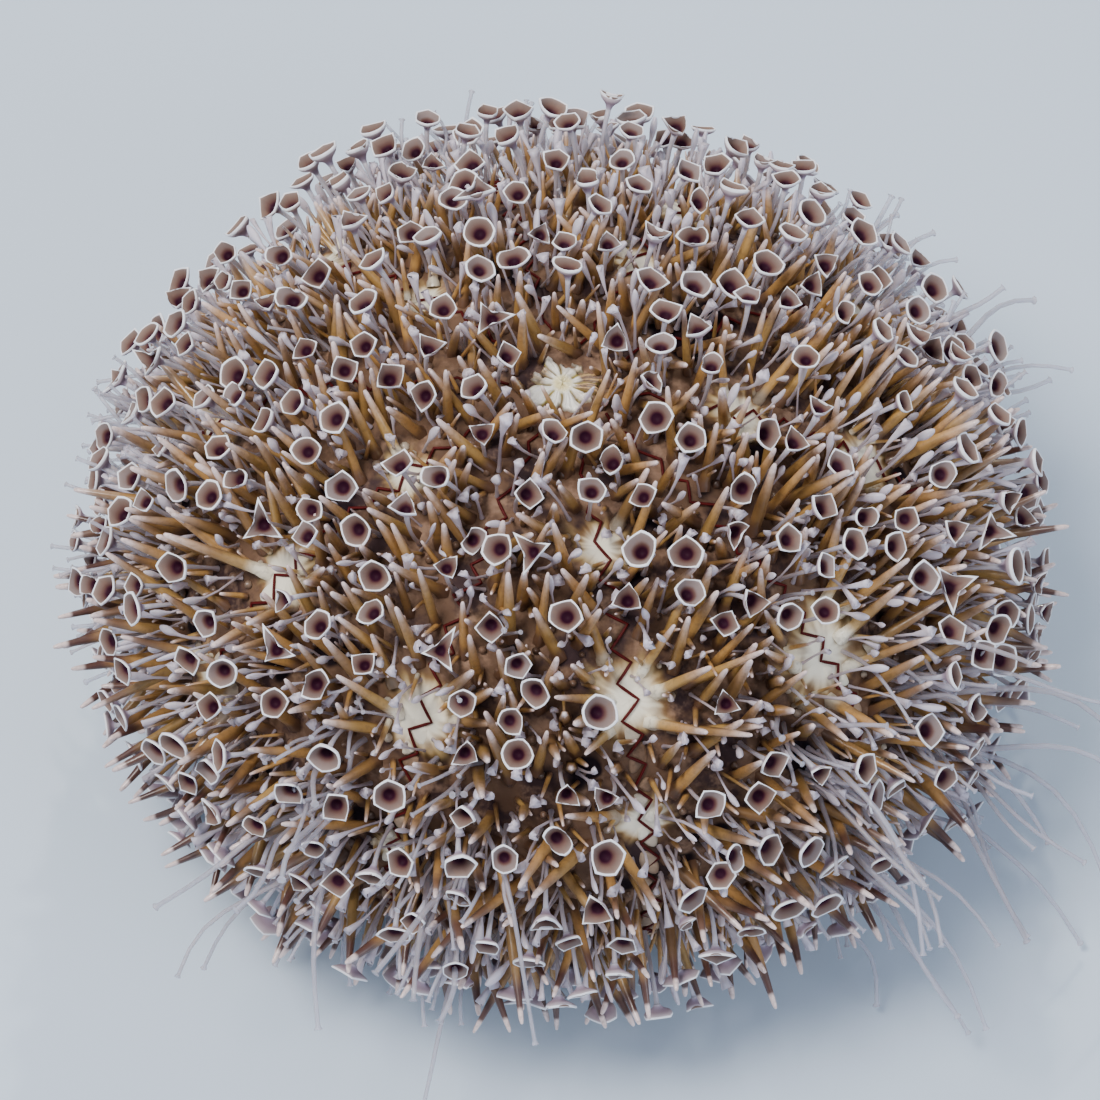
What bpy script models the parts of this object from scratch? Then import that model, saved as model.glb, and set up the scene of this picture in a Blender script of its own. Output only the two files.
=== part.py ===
"""Flower urchin, life size, resting mouth down on the tips of its lower spines.

The test is parted by thin radial cuts into five interambulacra and five ambulacra, which meet the
apical disc at the top and the peristome with its five teeth underneath. Spines, stalked cups
(pedicellariae) and tube feet grow from the sector that they stand on. Metres, +Z up, floor at zero.
"""

import math
import random

import bmesh
import bpy
import numpy as np
from mathutils import Matrix, Vector

# Driving dimensions of the test
TEST_RADIUS = 0.053
AMBITUS_HEIGHT = 0.026
CROWN_HEIGHT = 0.042
BASE_DEPTH = 0.018
CROWN_FULLNESS = 2.15
BASE_FULLNESS = 2.8
CROWN = AMBITUS_HEIGHT + CROWN_HEIGHT
GAP = 0.0003

# Sectors, counted from the one that faces the camera
SECTORS = 10
FIRST_MIDLINE = math.radians(-78)
SECTOR_STEP = math.tau / SECTORS
INTER_HALF_ANGLE = math.radians(22.5)
AMBULACRUM_HALF_ANGLE = SECTOR_STEP - INTER_HALF_ANGLE
COLUMNS = 40

# Apical disc, peristome and teeth
APICAL_RADIUS = 0.0068
APICAL_DEPTH = 0.0040
APICAL_SHOULDER = 0.5
APICAL_SHOULDER_DROP = 0.3
PERISTOME_RADIUS = 0.0150
PERISTOME_RECESS = 0.0060
MEMBRANE_DIP = 0.0016
MEMBRANE_DIPS = {"edge": 1.0, "middle": 1.5, "lip": 0.8, "mouth": 1.2}
MOUTH_RADIUS = 0.0034
LIP_RADIUS = 0.0051
TOOTH_COUNT = 5
TOOTH_LENGTH = 0.0074
TOOTH_WIDTH = 0.0019
TOOTH_TIP_WIDTH = 0.0009
TOOTH_TOP_RADIUS = 0.0021
TOOTH_TIP_RADIUS = 0.0011
TOOTH_SIDES = 4
PROFILE_STEPS = 14
DISC_COLUMNS = 20

# How finely the test's curve is stepped through to measure it
SLOPE_STEP = 0.01
HALVINGS = 50
AREA_STEPS = 400

# What grows on the test
SEED = 41
ROOT_DEPTH = 0.0022
GOLDEN_ANGLE = math.pi * (3 - math.sqrt(5))
TRIES = 24
SPACING = 0.0004
BALL_SPREAD = 0.0012
FLOOR_CLEARANCE = 0.0006
SPINE_COUNT = 285
SPINE_SPIRAL_START = 1.7
SPINE_LENGTHS = (0.82, 1.08)
SPINE_SHIFT = (0.07, 0.06)
CROWN_SPINE_LENGTH = 0.0105
AMBITUS_SPINE_LENGTH = 0.0140
SPINE_RADIUS = 0.00090
SPINE_TIP_RADIUS = 0.00038
SPINE_SIDES = 5
SPINE_LEAN = 0.32
CUP_COUNT = 128
CUP_SPIRAL_START = 0.4
CUP_LEVELS = (0.01, 0.85)
CUP_SIZES = (0.85, 1.08)
CUP_SHIFT = (0.05, 0.04)
CUP_MIDDLE = 0.6
CUP_RADIUS = 0.00225
CUP_DEPTH = 0.0019
CUP_RIM = 0.00050
CUP_HOLLOW = 0.0012
CUP_CORNER = 0.08
CUP_SIDES = 6
CUP_LEAN = 0.34
STALK_LENGTH = 0.0090
STALK_LENGTHS = (0.85, 1.25)
STALK_RADIUS = 0.00034
NECK_RADIUS = 0.00042
FEET_IN_ROW = 5
FOOT_ROW_ANGLE = math.radians(8.6)
FOOT_ROW_TOP = math.radians(32)
FOOT_ROW_LENGTH = math.radians(90)
FOOT_ROW_SHIFT = math.radians(5)
FOOT_SWELL = (0.15, 0.90)
FOOT_RADIUS = 0.00037
FOOT_ROOT_FLARE = 1.25
FOOT_LENGTH = 0.0290
SHORT_FOOT_LENGTH = 0.0150
FOOT_LENGTHS = (0.85, 1.15)
FOOT_SIDE = math.radians(-60)
FOOT_SIDE_SHARE = (0.5, 0.75)
FOOT_DROOPS = (0.1, 0.4)
FOOT_SWAY = 0.0040
FOOT_BENDS = (0.25, 0.6, 1.0)
SUCKER_RADIUS = 0.00075

# What grows on the apical disc and on the peristome
GENITAL_PLATE_RADIUS = 0.0017
OCULAR_PLATE_RADIUS = 0.0009
ANAL_PLATE_RADIUS = 0.0008
ANAL_PLATES = 7
ANAL_RING_RADIUS = 0.00176
PLATE_SIDES = 5
PLATE_ROOT = 0.0012
PLATE_RISE = 0.0006
PLATE_TAPER = 0.75
PLATE_TILT = 0.2
PLATE_MARGIN = 0.0002
BUCCAL_RING_RADIUS = 0.0093
BUCCAL_PAIR_ANGLE = 0.16
BUCCAL_LEAN = 0.25
BUCCAL_FOOT_LENGTH = 0.0055
BUCCAL_FOOT_RADIUS = 0.0005
BUCCAL_DISC_RADIUS = 0.0006
BUCCAL_ROOT_MARGIN = 0.0012
BUCCAL_SIDES = 5

SKIN = {"color": (0.30, 0.19, 0.11, 1), "roughness": 0.5}
PALE_SKIN = {"color": (0.42, 0.30, 0.18, 1), "roughness": 0.5}
PLATE = {"color": (0.80, 0.74, 0.60, 1), "roughness": 0.45}
MEMBRANE = {"color": (0.52, 0.40, 0.32, 1), "roughness": 0.4}
CALCITE = {"color": (0.90, 0.88, 0.82, 1), "roughness": 0.35}


def new_collection(name):
    """An empty collection in the scene."""
    made = bpy.data.collections.new(name)
    bpy.context.scene.collection.children.link(made)
    return made


def material(name, look):
    """A plain material with the part's colour."""
    made = bpy.data.materials.new(name)
    made.use_nodes = True
    shader = made.node_tree.nodes["Principled BSDF"]
    shader.inputs["Base Color"].default_value = look["color"]
    shader.inputs["Roughness"].default_value = look["roughness"]
    shader.inputs["Metallic"].default_value = 0.0
    return made


def power(value, exponent):
    return math.copysign(abs(value) ** exponent, value)


def test_point(polar):
    """Radius and height of the test at a polar angle from the apex."""
    up = polar <= math.pi / 2
    fullness = CROWN_FULLNESS if up else BASE_FULLNESS
    half_height = CROWN_HEIGHT if up else BASE_DEPTH
    radius = TEST_RADIUS * power(math.sin(polar), 2 / fullness)
    return radius, AMBITUS_HEIGHT + half_height * power(math.cos(polar), 2 / fullness)


def polar_at_radius(radius, low, high):
    """Polar angle between low and high at which the test has this radius."""
    for _ in range(HALVINGS):
        middle = (low + high) / 2
        wider = test_point(middle)[0] > radius
        if wider == (low < math.pi / 2):
            high = middle
        else:
            low = middle
    return (low + high) / 2


# Levels of the test that follow from its shape
FIRST_POLAR = polar_at_radius(APICAL_RADIUS + GAP, 0, math.pi / 2)
LAST_POLAR = polar_at_radius(PERISTOME_RADIUS + GAP, math.pi / 2, math.pi)
APICAL_EDGE = test_point(FIRST_POLAR)[1]
PERISTOME_EDGE = test_point(LAST_POLAR)[1]


def sector_profile():
    """The half section of the test, with the seats of the apical disc and the peristome."""
    surface = [test_point(polar) for polar in np.linspace(FIRST_POLAR, LAST_POLAR, PROFILE_STEPS + 1)]
    seat_top = surface[0][1] - APICAL_DEPTH
    seat_base = surface[-1][1] + PERISTOME_RECESS
    top = [(0.0, seat_top), (APICAL_RADIUS + GAP, seat_top)]
    bottom = [(PERISTOME_RADIUS + GAP, seat_base), (0.0, seat_base)]
    return top + surface + bottom


def turned(profile, columns, turn=0.0):
    """A closed turned body from a half section that starts and ends on the axis."""
    mesh = bmesh.new()
    rings = []
    for radius, height in profile:
        if radius == 0.0:
            rings.append([mesh.verts.new((0, 0, height))] * columns)
            continue
        ring = []
        for i in range(columns):
            angle = turn + math.tau * i / columns
            ring.append(mesh.verts.new((radius * math.cos(angle), radius * math.sin(angle), height)))
        rings.append(ring)
    for upper, lower in zip(rings, rings[1:]):
        for i in range(columns):
            j = (i + 1) % columns
            corners = dict.fromkeys((upper[i], lower[i], lower[j], upper[j]))
            if len(corners) > 2:
                mesh.faces.new(corners)
    bmesh.ops.recalc_face_normals(mesh, faces=mesh.faces)
    return mesh


def cut(mesh, point, normal):
    """Removes what lies on the normal's side of a plane, and closes the cut."""
    geometry = [*mesh.verts, *mesh.edges, *mesh.faces]
    sliced = bmesh.ops.bisect_plane(
        mesh, geom=geometry, plane_co=point, plane_no=normal, clear_outer=True, dist=1e-7
    )
    edges = [e for e in sliced["geom_cut"] if isinstance(e, bmesh.types.BMEdge)]
    bmesh.ops.contextual_create(mesh, geom=edges)


def node(name, mesh, look, collection):
    """A named object in the collection, from a bmesh."""
    bmesh.ops.triangulate(mesh, faces=mesh.faces)
    bmesh.ops.recalc_face_normals(mesh, faces=mesh.faces)
    data = bpy.data.meshes.new(name)
    mesh.to_mesh(data)
    mesh.free()
    data.materials.append(look)
    made = bpy.data.objects.new(name, data)
    collection.objects.link(made)
    return made


def piece(mesh, collection):
    """A closed mesh that a union joins to its node."""
    data = bpy.data.meshes.new("piece")
    mesh.to_mesh(data)
    mesh.free()
    made = bpy.data.objects.new("piece", data)
    collection.objects.link(made)
    return made


def largest_surface(mesh):
    """Deletes every closed surface of a bmesh but the largest."""
    mesh.verts.ensure_lookup_table()
    unseen = set(mesh.verts)
    islands = []
    while unseen:
        island, edge_of_search = set(), [unseen.pop()]
        while edge_of_search:
            vertex = edge_of_search.pop()
            island.add(vertex)
            for edge in vertex.link_edges:
                other = edge.other_vert(vertex)
                if other in unseen:
                    unseen.discard(other)
                    edge_of_search.append(other)
        islands.append(island)
    largest = max(islands, key=len)
    scraps = [v for island in islands if island is not largest for v in island]
    bmesh.ops.delete(mesh, geom=scraps, context="VERTS")


def fuse(base, pieces):
    """Joins a collection of closed pieces to a node with one Boolean union, and removes the collection."""
    joined = base.modifiers.new("join", "BOOLEAN")
    joined.operation = "UNION"
    joined.operand_type = "COLLECTION"
    joined.collection = pieces
    joined.solver = "EXACT"
    bpy.context.view_layer.update()
    graph = bpy.context.evaluated_depsgraph_get()
    data = bpy.data.meshes.new_from_object(base.evaluated_get(graph))
    base.modifiers.remove(joined)
    mesh = bmesh.new()
    mesh.from_mesh(data)
    largest_surface(mesh)
    bmesh.ops.triangulate(mesh, faces=mesh.faces)
    mesh.to_mesh(base.data)
    mesh.free()
    bpy.data.meshes.remove(data)
    for found in list(pieces.objects):
        bpy.data.objects.remove(found, do_unlink=True)
    bpy.data.collections.remove(pieces)
    return base


def aim(start, end):
    """The matrix that lays a shape made up the Z axis from the origin along start to end."""
    return Matrix.Translation(start) @ (end - start).to_track_quat("Z", "Y").to_matrix().to_4x4()


def cone(start, end, start_radius, end_radius, sides):
    """A closed tapered rod, a primitive cone with both ends capped."""
    length = (end - start).length
    mesh = bmesh.new()
    bmesh.ops.create_cone(
        mesh,
        cap_ends=True,
        segments=sides,
        radius1=start_radius,
        radius2=end_radius,
        depth=length,
        matrix=aim(start, end) @ Matrix.Translation((0, 0, length / 2)),
    )
    return mesh


def tube(points, radii, collection):
    """A closed tube through the points, made from a bevelled curve and welded."""
    curve = bpy.data.curves.new("tube", "CURVE")
    curve.dimensions = "3D"
    curve.bevel_depth = 1.0
    curve.bevel_resolution = 0
    curve.use_fill_caps = True
    spline = curve.splines.new("POLY")
    spline.points.add(len(points) - 1)
    for spot, place, radius in zip(spline.points, points, radii):
        spot.co = (*place, 1)
        spot.radius = radius
    guide = bpy.data.objects.new("tube", curve)
    bpy.context.scene.collection.objects.link(guide)
    graph = bpy.context.evaluated_depsgraph_get()
    data = bpy.data.meshes.new_from_object(guide.evaluated_get(graph))
    mesh = bmesh.new()
    mesh.from_mesh(data)
    bmesh.ops.remove_doubles(mesh, verts=mesh.verts, dist=1e-6)
    bmesh.ops.recalc_face_normals(mesh, faces=mesh.faces)
    bpy.data.objects.remove(guide)
    bpy.data.curves.remove(curve)
    bpy.data.meshes.remove(data)
    return piece(mesh, collection)


def surface_frame(azimuth, polar):
    """A point of the test with its outward normal, the way down the meridian and the way round."""
    radius, height = test_point(polar)
    above = test_point(max(polar - SLOPE_STEP, 0))
    below = test_point(min(polar + SLOPE_STEP, math.pi))
    across = Vector((math.cos(azimuth), math.sin(azimuth), 0))
    around = Vector((-math.sin(azimuth), math.cos(azimuth), 0))
    up = Vector((0, 0, 1))
    down = (across * (below[0] - above[0]) + up * (below[1] - above[1])).normalized()
    return across * radius + up * height, down.cross(around), down, around


class Sector:
    """One radial sector: its middle, its half angle, and what has been placed on it so far."""

    def __init__(self, middle, half_angle):
        self.middle = middle
        self.half_angle = half_angle
        self.taken = np.empty((0, 4))
        self.spines = []
        self.cups = []
        self.feet = []

    def room(self, point):
        """Distance from a point to the nearest of the two cuts, the apical disc and the peristome."""
        turn = math.atan2(point.y, point.x) - self.middle
        turn = (turn + math.pi) % math.tau - math.pi
        across = math.hypot(point.x, point.y)
        found = across * math.sin(self.half_angle - abs(turn))
        if CROWN - APICAL_DEPTH - ROOT_DEPTH < point.z < CROWN + ROOT_DEPTH:
            found = min(found, across - APICAL_RADIUS)
        if point.z < AMBITUS_HEIGHT - BASE_DEPTH + PERISTOME_RECESS + ROOT_DEPTH:
            found = min(found, across - PERISTOME_RADIUS)
        return found

    def free(self, balls):
        """True if these balls (point, radius) are inside the sector and clear of what it carries."""
        if any(self.room(point) < radius + GAP for point, radius in balls):
            return False
        if not len(self.taken):
            return True
        spots = np.array([[*point, radius] for point, radius in balls])
        apart = np.linalg.norm(spots[:, None, :3] - self.taken[None, :, :3], axis=2)
        return bool((apart > spots[:, None, 3] + self.taken[None, :, 3] + SPACING).all())

    def take(self, balls):
        self.taken = np.vstack([self.taken, [[*point, radius] for point, radius in balls]])


def balls_along(points, radii):
    """Balls spaced evenly along a path, to test it against its neighbours."""
    found = []
    for i in range(len(points) - 1):
        steps = max(1, round((points[i + 1] - points[i]).length / BALL_SPREAD))
        for j in range(steps):
            share = j / steps
            radius = radii[i] * (1 - share) + radii[i + 1] * share
            found.append((points[i].lerp(points[i + 1], share), radius))
    return [*found, (points[-1], radii[-1])]


def area_table():
    """Polar angles and the share of the test's surface that lies above each."""
    polars = np.linspace(FIRST_POLAR, LAST_POLAR, AREA_STEPS)
    places = np.array([test_point(p) for p in polars])
    bands = np.hypot(*np.diff(places, axis=0).T) * (places[1:, 0] + places[:-1, 0]) / 2
    share = np.concatenate([[0], np.cumsum(bands)])
    return polars, share / share[-1]


def spiral(count, start, table, levels=(0.0, 1.0)):
    """Evenly spread places on the test, along a golden spiral from the apex down."""
    polars, share = table
    for i in range(count):
        level = levels[0] + (levels[1] - levels[0]) * (i + 0.5) / count
        yield start + i * GOLDEN_ANGLE, float(np.interp(level, share, polars))


def near(azimuth, polar, shift, rng):
    """A place of the test close to the one given, within a shift round and down it."""
    return surface_frame(azimuth + rng.uniform(-1, 1) * shift[0], polar + rng.uniform(-1, 1) * shift[1])


def leaning(frame, tilt, heading):
    """A direction that leans from the surface normal towards a heading on the surface."""
    _, normal, down, around = frame
    return (normal + (down * math.cos(heading) + around * math.sin(heading)) * tilt).normalized()


def sector_at(sectors, azimuth):
    """The sector that an azimuth falls in."""
    def inside(found):
        turn = (azimuth - found.middle + math.pi) % math.tau - math.pi
        return found.half_angle - abs(turn)

    return max(sectors, key=inside)


def place_cups(sectors, table, rng):
    """Finds room for the stalked cups, each with its root, head base and head direction."""
    for azimuth, polar in spiral(CUP_COUNT, CUP_SPIRAL_START, table, CUP_LEVELS):
        home = sector_at(sectors, azimuth)
        size = rng.uniform(*CUP_SIZES)
        length = STALK_LENGTH * rng.uniform(*STALK_LENGTHS)
        for _ in range(TRIES):
            frame = near(azimuth, polar, CUP_SHIFT, rng)
            way = leaning(frame, CUP_LEAN * rng.random(), rng.uniform(0, math.tau))
            root = frame[0] - way * ROOT_DEPTH
            neck = frame[0] + way * length
            head = neck + way * CUP_DEPTH * size
            radius = CUP_RADIUS * size
            balls = balls_along([frame[0], neck], [STALK_RADIUS] * 2)
            balls += [(neck.lerp(head, CUP_MIDDLE), radius), (root, STALK_RADIUS)]
            low = head.z - radius * math.hypot(way.x, way.y)
            if low > FLOOR_CLEARANCE and neck.z > FLOOR_CLEARANCE and home.free(balls):
                home.take(balls)
                home.cups.append((root, neck, head, radius, rng.uniform(0, math.tau)))
                break


def foot_path(frame, length, sway, droop):
    """The bent path of a tube foot, which leaves the test square and then sinks."""
    start, normal, _, around = frame
    path = [start - normal * ROOT_DEPTH]
    for share in FOOT_BENDS:
        spot = start + normal * length * share + around * sway * math.sin(math.pi * share)
        spot -= Vector((0, 0, droop * length * share * share))
        path.append(spot)
    return path


def foot_length(azimuth, level):
    """Length of a tube foot: the longest grow half way down and on the side that FOOT_SIDE names."""
    swell = math.sin(math.pi * (FOOT_SWELL[0] + (FOOT_SWELL[1] - FOOT_SWELL[0]) * level))
    middle, spread = FOOT_SIDE_SHARE
    side = min(max(middle + spread * math.cos(azimuth - FOOT_SIDE), 0), 1)
    return SHORT_FOOT_LENGTH + (FOOT_LENGTH - SHORT_FOOT_LENGTH) * swell * side


def place_feet(sectors, rng):
    """Finds room for the tube feet, in two rows on each ambulacrum."""
    for home in sectors:
        if home.half_angle == INTER_HALF_ANGLE:
            continue
        for side in (-1, 1):
            for i in range(FEET_IN_ROW):
                level = (i + 0.5) / FEET_IN_ROW
                azimuth = home.middle + side * FOOT_ROW_ANGLE
                length = foot_length(azimuth, level)
                for _ in range(TRIES):
                    frame = near(azimuth, FOOT_ROW_TOP + FOOT_ROW_LENGTH * level, (0, FOOT_ROW_SHIFT), rng)
                    sway = rng.uniform(-FOOT_SWAY, FOOT_SWAY)
                    reach = length * rng.uniform(*FOOT_LENGTHS)
                    path = foot_path(frame, reach, sway, rng.uniform(*FOOT_DROOPS))
                    balls = balls_along(path, [FOOT_RADIUS] * len(path))
                    balls.append((path[-1], SUCKER_RADIUS))
                    if min(p.z for p in path) > FLOOR_CLEARANCE + SUCKER_RADIUS and home.free(balls):
                        home.take(balls)
                        home.feet.append(path)
                        break


def place_spines(sectors, table, rng):
    """Finds room for the spines. One that would pass the floor ends on it."""
    for azimuth, polar in spiral(SPINE_COUNT, SPINE_SPIRAL_START, table):
        home = sector_at(sectors, azimuth)
        fullest = CROWN_SPINE_LENGTH + (AMBITUS_SPINE_LENGTH - CROWN_SPINE_LENGTH) * math.sin(polar) ** 2
        length = fullest * rng.uniform(*SPINE_LENGTHS)
        for attempt in range(TRIES):
            frame = near(azimuth, polar, [shift * attempt / TRIES for shift in SPINE_SHIFT], rng)
            way = leaning(frame, SPINE_LEAN * rng.random(), rng.uniform(0, math.tau))
            reach = length
            on_floor = frame[0].z + way.z * length < SPINE_TIP_RADIUS
            if on_floor:
                reach = -frame[0].z / way.z
            root = frame[0] - way * ROOT_DEPTH
            tip = frame[0] + way * reach
            balls = balls_along([root, tip], [SPINE_RADIUS, SPINE_TIP_RADIUS])
            if home.free(balls):
                home.take(balls)
                home.spines.append((root, tip, on_floor))
                break


def spine(root, tip, on_floor, collection):
    """A tapered spine. Its tip is a small flat at floor level where it carries the animal."""
    mesh = cone(root, tip, SPINE_RADIUS, SPINE_TIP_RADIUS, SPINE_SIDES)
    if on_floor:
        end_of_cone = sorted(mesh.verts, key=lambda v: (v.co - tip).length)[:SPINE_SIDES]
        for vertex in end_of_cone:
            vertex.co.z = 0.0
    return piece(mesh, collection)


def cup(root, neck, head, radius, turn, collection):
    """An open pedicellaria: a thin stalk and a hollow, three-cornered cup with a thick rim."""
    length, depth = (neck - root).length, (head - neck).length
    profile = [
        (0.0, -length),
        (STALK_RADIUS, -length),
        (NECK_RADIUS, 0.0),
        (radius, depth),
        (radius - CUP_RIM, depth),
        (0.0, depth - CUP_HOLLOW),
    ]
    mesh = turned(profile, CUP_SIDES)
    for vertex in mesh.verts:
        if vertex.co.z > 0:
            corner = 1 + CUP_CORNER * math.cos(3 * math.atan2(vertex.co.y, vertex.co.x))
            vertex.co.x *= corner
            vertex.co.y *= corner
    bmesh.ops.transform(mesh, matrix=aim(neck, head) @ Matrix.Rotation(turn, 4, "Z"), verts=mesh.verts)
    return piece(mesh, collection)


def tube_foot(path, collection):
    """A tube foot with a flared sucker at its end."""
    last = (path[-1] - path[-2]).normalized()
    neck = path[-1] - last * SUCKER_RADIUS
    points = [*path[:-1], neck, path[-1]]
    radii = [FOOT_RADIUS * FOOT_ROOT_FLARE, *[FOOT_RADIUS] * (len(path) - 1), SUCKER_RADIUS]
    return tube(points, radii, collection)


def sector_node(name, home, look, collection):
    """One radial sector of the test with all that grows on it, cut clear of its neighbours."""
    mesh = turned(sector_profile(), COLUMNS, FIRST_MIDLINE)
    for side in (-1, 1):
        angle = home.middle + side * (home.half_angle + math.pi / 2)
        outward = Vector((math.cos(angle), math.sin(angle), 0))
        cut(mesh, outward * (-GAP / 2), outward)
    base = node(name, mesh, look, collection)
    pieces = new_collection(f"{name}_pieces")
    for root, tip, on_floor in home.spines:
        spine(root, tip, on_floor, pieces)
    for root, neck, head, radius, turn in home.cups:
        cup(root, neck, head, radius, turn, pieces)
    for path in home.feet:
        tube_foot(path, pieces)
    return fuse(base, pieces)


def apical_plate(azimuth, distance, radius, collection):
    """A low five-sided plate raised on the apical disc."""
    across = Vector((math.cos(azimuth), math.sin(azimuth), 0))
    share = distance / APICAL_RADIUS
    height = CROWN - (CROWN - APICAL_EDGE) * share**2
    foot = across * distance + Vector((0, 0, height))
    up = (Vector((0, 0, 1)) + across * PLATE_TILT * share).normalized()
    mesh = cone(foot - up * PLATE_ROOT, foot + up * PLATE_RISE, radius, radius * PLATE_TAPER, PLATE_SIDES)
    return piece(mesh, collection)


def apical_disc(look, collection):
    """The low dome of plates round the anus."""
    base = APICAL_EDGE - APICAL_DEPTH + GAP
    profile = [
        (0.0, CROWN),
        (APICAL_RADIUS * APICAL_SHOULDER, CROWN - (CROWN - APICAL_EDGE) * APICAL_SHOULDER_DROP),
        (APICAL_RADIUS, APICAL_EDGE),
        (APICAL_RADIUS, base),
        (0.0, base),
    ]
    disc = node("apical_disc", turned(profile, DISC_COLUMNS), look, collection)
    pieces = new_collection("plates")
    for i in range(SECTORS):
        radius = OCULAR_PLATE_RADIUS if i % 2 else GENITAL_PLATE_RADIUS
        azimuth = FIRST_MIDLINE + i * SECTOR_STEP
        apical_plate(azimuth, APICAL_RADIUS - radius - PLATE_MARGIN, radius, pieces)
    for i in range(ANAL_PLATES):
        azimuth = FIRST_MIDLINE + math.tau * i / ANAL_PLATES
        apical_plate(azimuth, ANAL_RING_RADIUS, ANAL_PLATE_RADIUS, pieces)
    return fuse(disc, pieces)


def peristome(look, collection):
    """The membrane round the mouth, a ring with a thick lip and five pairs of buccal tube feet."""
    ceiling = PERISTOME_EDGE + PERISTOME_RECESS - GAP
    level = {place: PERISTOME_EDGE + MEMBRANE_DIP * dip for place, dip in MEMBRANE_DIPS.items()}
    section = [
        (MOUTH_RADIUS, ceiling),
        (PERISTOME_RADIUS, ceiling),
        (PERISTOME_RADIUS, level["edge"]),
        (BUCCAL_RING_RADIUS, level["middle"]),
        (LIP_RADIUS, level["lip"]),
        (MOUTH_RADIUS, level["mouth"]),
    ]
    mesh = bmesh.new()
    rings = []
    for radius, height in section:
        angles = [math.tau * i / DISC_COLUMNS for i in range(DISC_COLUMNS)]
        rings.append([mesh.verts.new((radius * math.cos(a), radius * math.sin(a), height)) for a in angles])
    for upper, lower in zip(rings, rings[1:] + rings[:1]):
        for i in range(DISC_COLUMNS):
            j = (i + 1) % DISC_COLUMNS
            mesh.faces.new((upper[i], lower[i], lower[j], upper[j]))
    membrane = node("peristome", mesh, look, collection)
    pieces = new_collection("buccal_feet")
    for i in range(2 * TOOTH_COUNT):
        beside = BUCCAL_PAIR_ANGLE if i % 2 else -BUCCAL_PAIR_ANGLE
        azimuth = FIRST_MIDLINE + SECTOR_STEP + math.tau * (i // 2) / TOOTH_COUNT + beside
        across = Vector((math.cos(azimuth), math.sin(azimuth), 0))
        root = across * BUCCAL_RING_RADIUS + Vector((0, 0, ceiling - BUCCAL_ROOT_MARGIN))
        way = (across * BUCCAL_LEAN - Vector((0, 0, 1))).normalized()
        end = root + way * BUCCAL_FOOT_LENGTH
        foot = cone(root, end, BUCCAL_FOOT_RADIUS, BUCCAL_DISC_RADIUS, BUCCAL_SIDES)
        piece(foot, pieces)
    return fuse(membrane, pieces)


def tooth(number, look, collection):
    """One tooth of the lantern, a tapered chisel that leans in to the mouth's centre."""
    top = PERISTOME_EDGE + PERISTOME_RECESS - GAP
    start = Vector((TOOTH_TOP_RADIUS, 0, top))
    end = Vector((TOOTH_TIP_RADIUS, 0, top - TOOTH_LENGTH))
    mesh = cone(start, end, TOOTH_WIDTH / 2, TOOTH_TIP_WIDTH / 2, TOOTH_SIDES)
    turn = Matrix.Rotation(math.tau * number / TOOTH_COUNT + FIRST_MIDLINE, 4, "Z")
    bmesh.ops.transform(mesh, matrix=turn, verts=mesh.verts)
    return node(f"tooth_{number + 1}", mesh, look, collection)


def centre(collection):
    """Moves the animal so that the middle of its overall box stands over the origin."""
    corners = np.array([v.co for found in collection.objects for v in found.data.vertices])
    middle = (corners.min(axis=0) + corners.max(axis=0)) / 2
    for found in collection.objects:
        found.data.transform(Matrix.Translation((-middle[0], -middle[1], 0)))


def clear_scene():
    for found in list(bpy.data.objects):
        bpy.data.objects.remove(found, do_unlink=True)


def main():
    clear_scene()
    urchin = new_collection("flower_urchin")
    skin = material("test_skin", SKIN)
    pale_skin = material("ambulacral_skin", PALE_SKIN)
    plate = material("apical_plates", PLATE)
    membrane = material("peristome_membrane", MEMBRANE)
    calcite = material("tooth_calcite", CALCITE)
    sectors = []
    for i in range(SECTORS):
        half_angle = AMBULACRUM_HALF_ANGLE if i % 2 else INTER_HALF_ANGLE
        sectors.append(Sector(FIRST_MIDLINE + i * SECTOR_STEP, half_angle))
    rng = random.Random(SEED)
    table = area_table()
    place_cups(sectors, table, rng)
    place_feet(sectors, rng)
    place_spines(sectors, table, rng)
    for i, home in enumerate(sectors):
        name = ("ambulacrum_" if i % 2 else "interambulacrum_") + str(i // 2 + 1)
        sector_node(name, home, pale_skin if i % 2 else skin, urchin)
    apical_disc(plate, urchin)
    peristome(membrane, urchin)
    for i in range(TOOTH_COUNT):
        tooth(i, calcite, urchin)
    centre(urchin)


main()
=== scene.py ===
"""The finish of the flower urchin: one skin over the test, and everything that grows on it.

Each family of small forms (spines, open and closed pedicellariae, tube feet, tubercles) is drawn with
seeded random numbers on the test's own surface and made as joined meshes of swept tubes.
"""

import math

import bpy
import numpy as np
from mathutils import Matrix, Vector, noise


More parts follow.
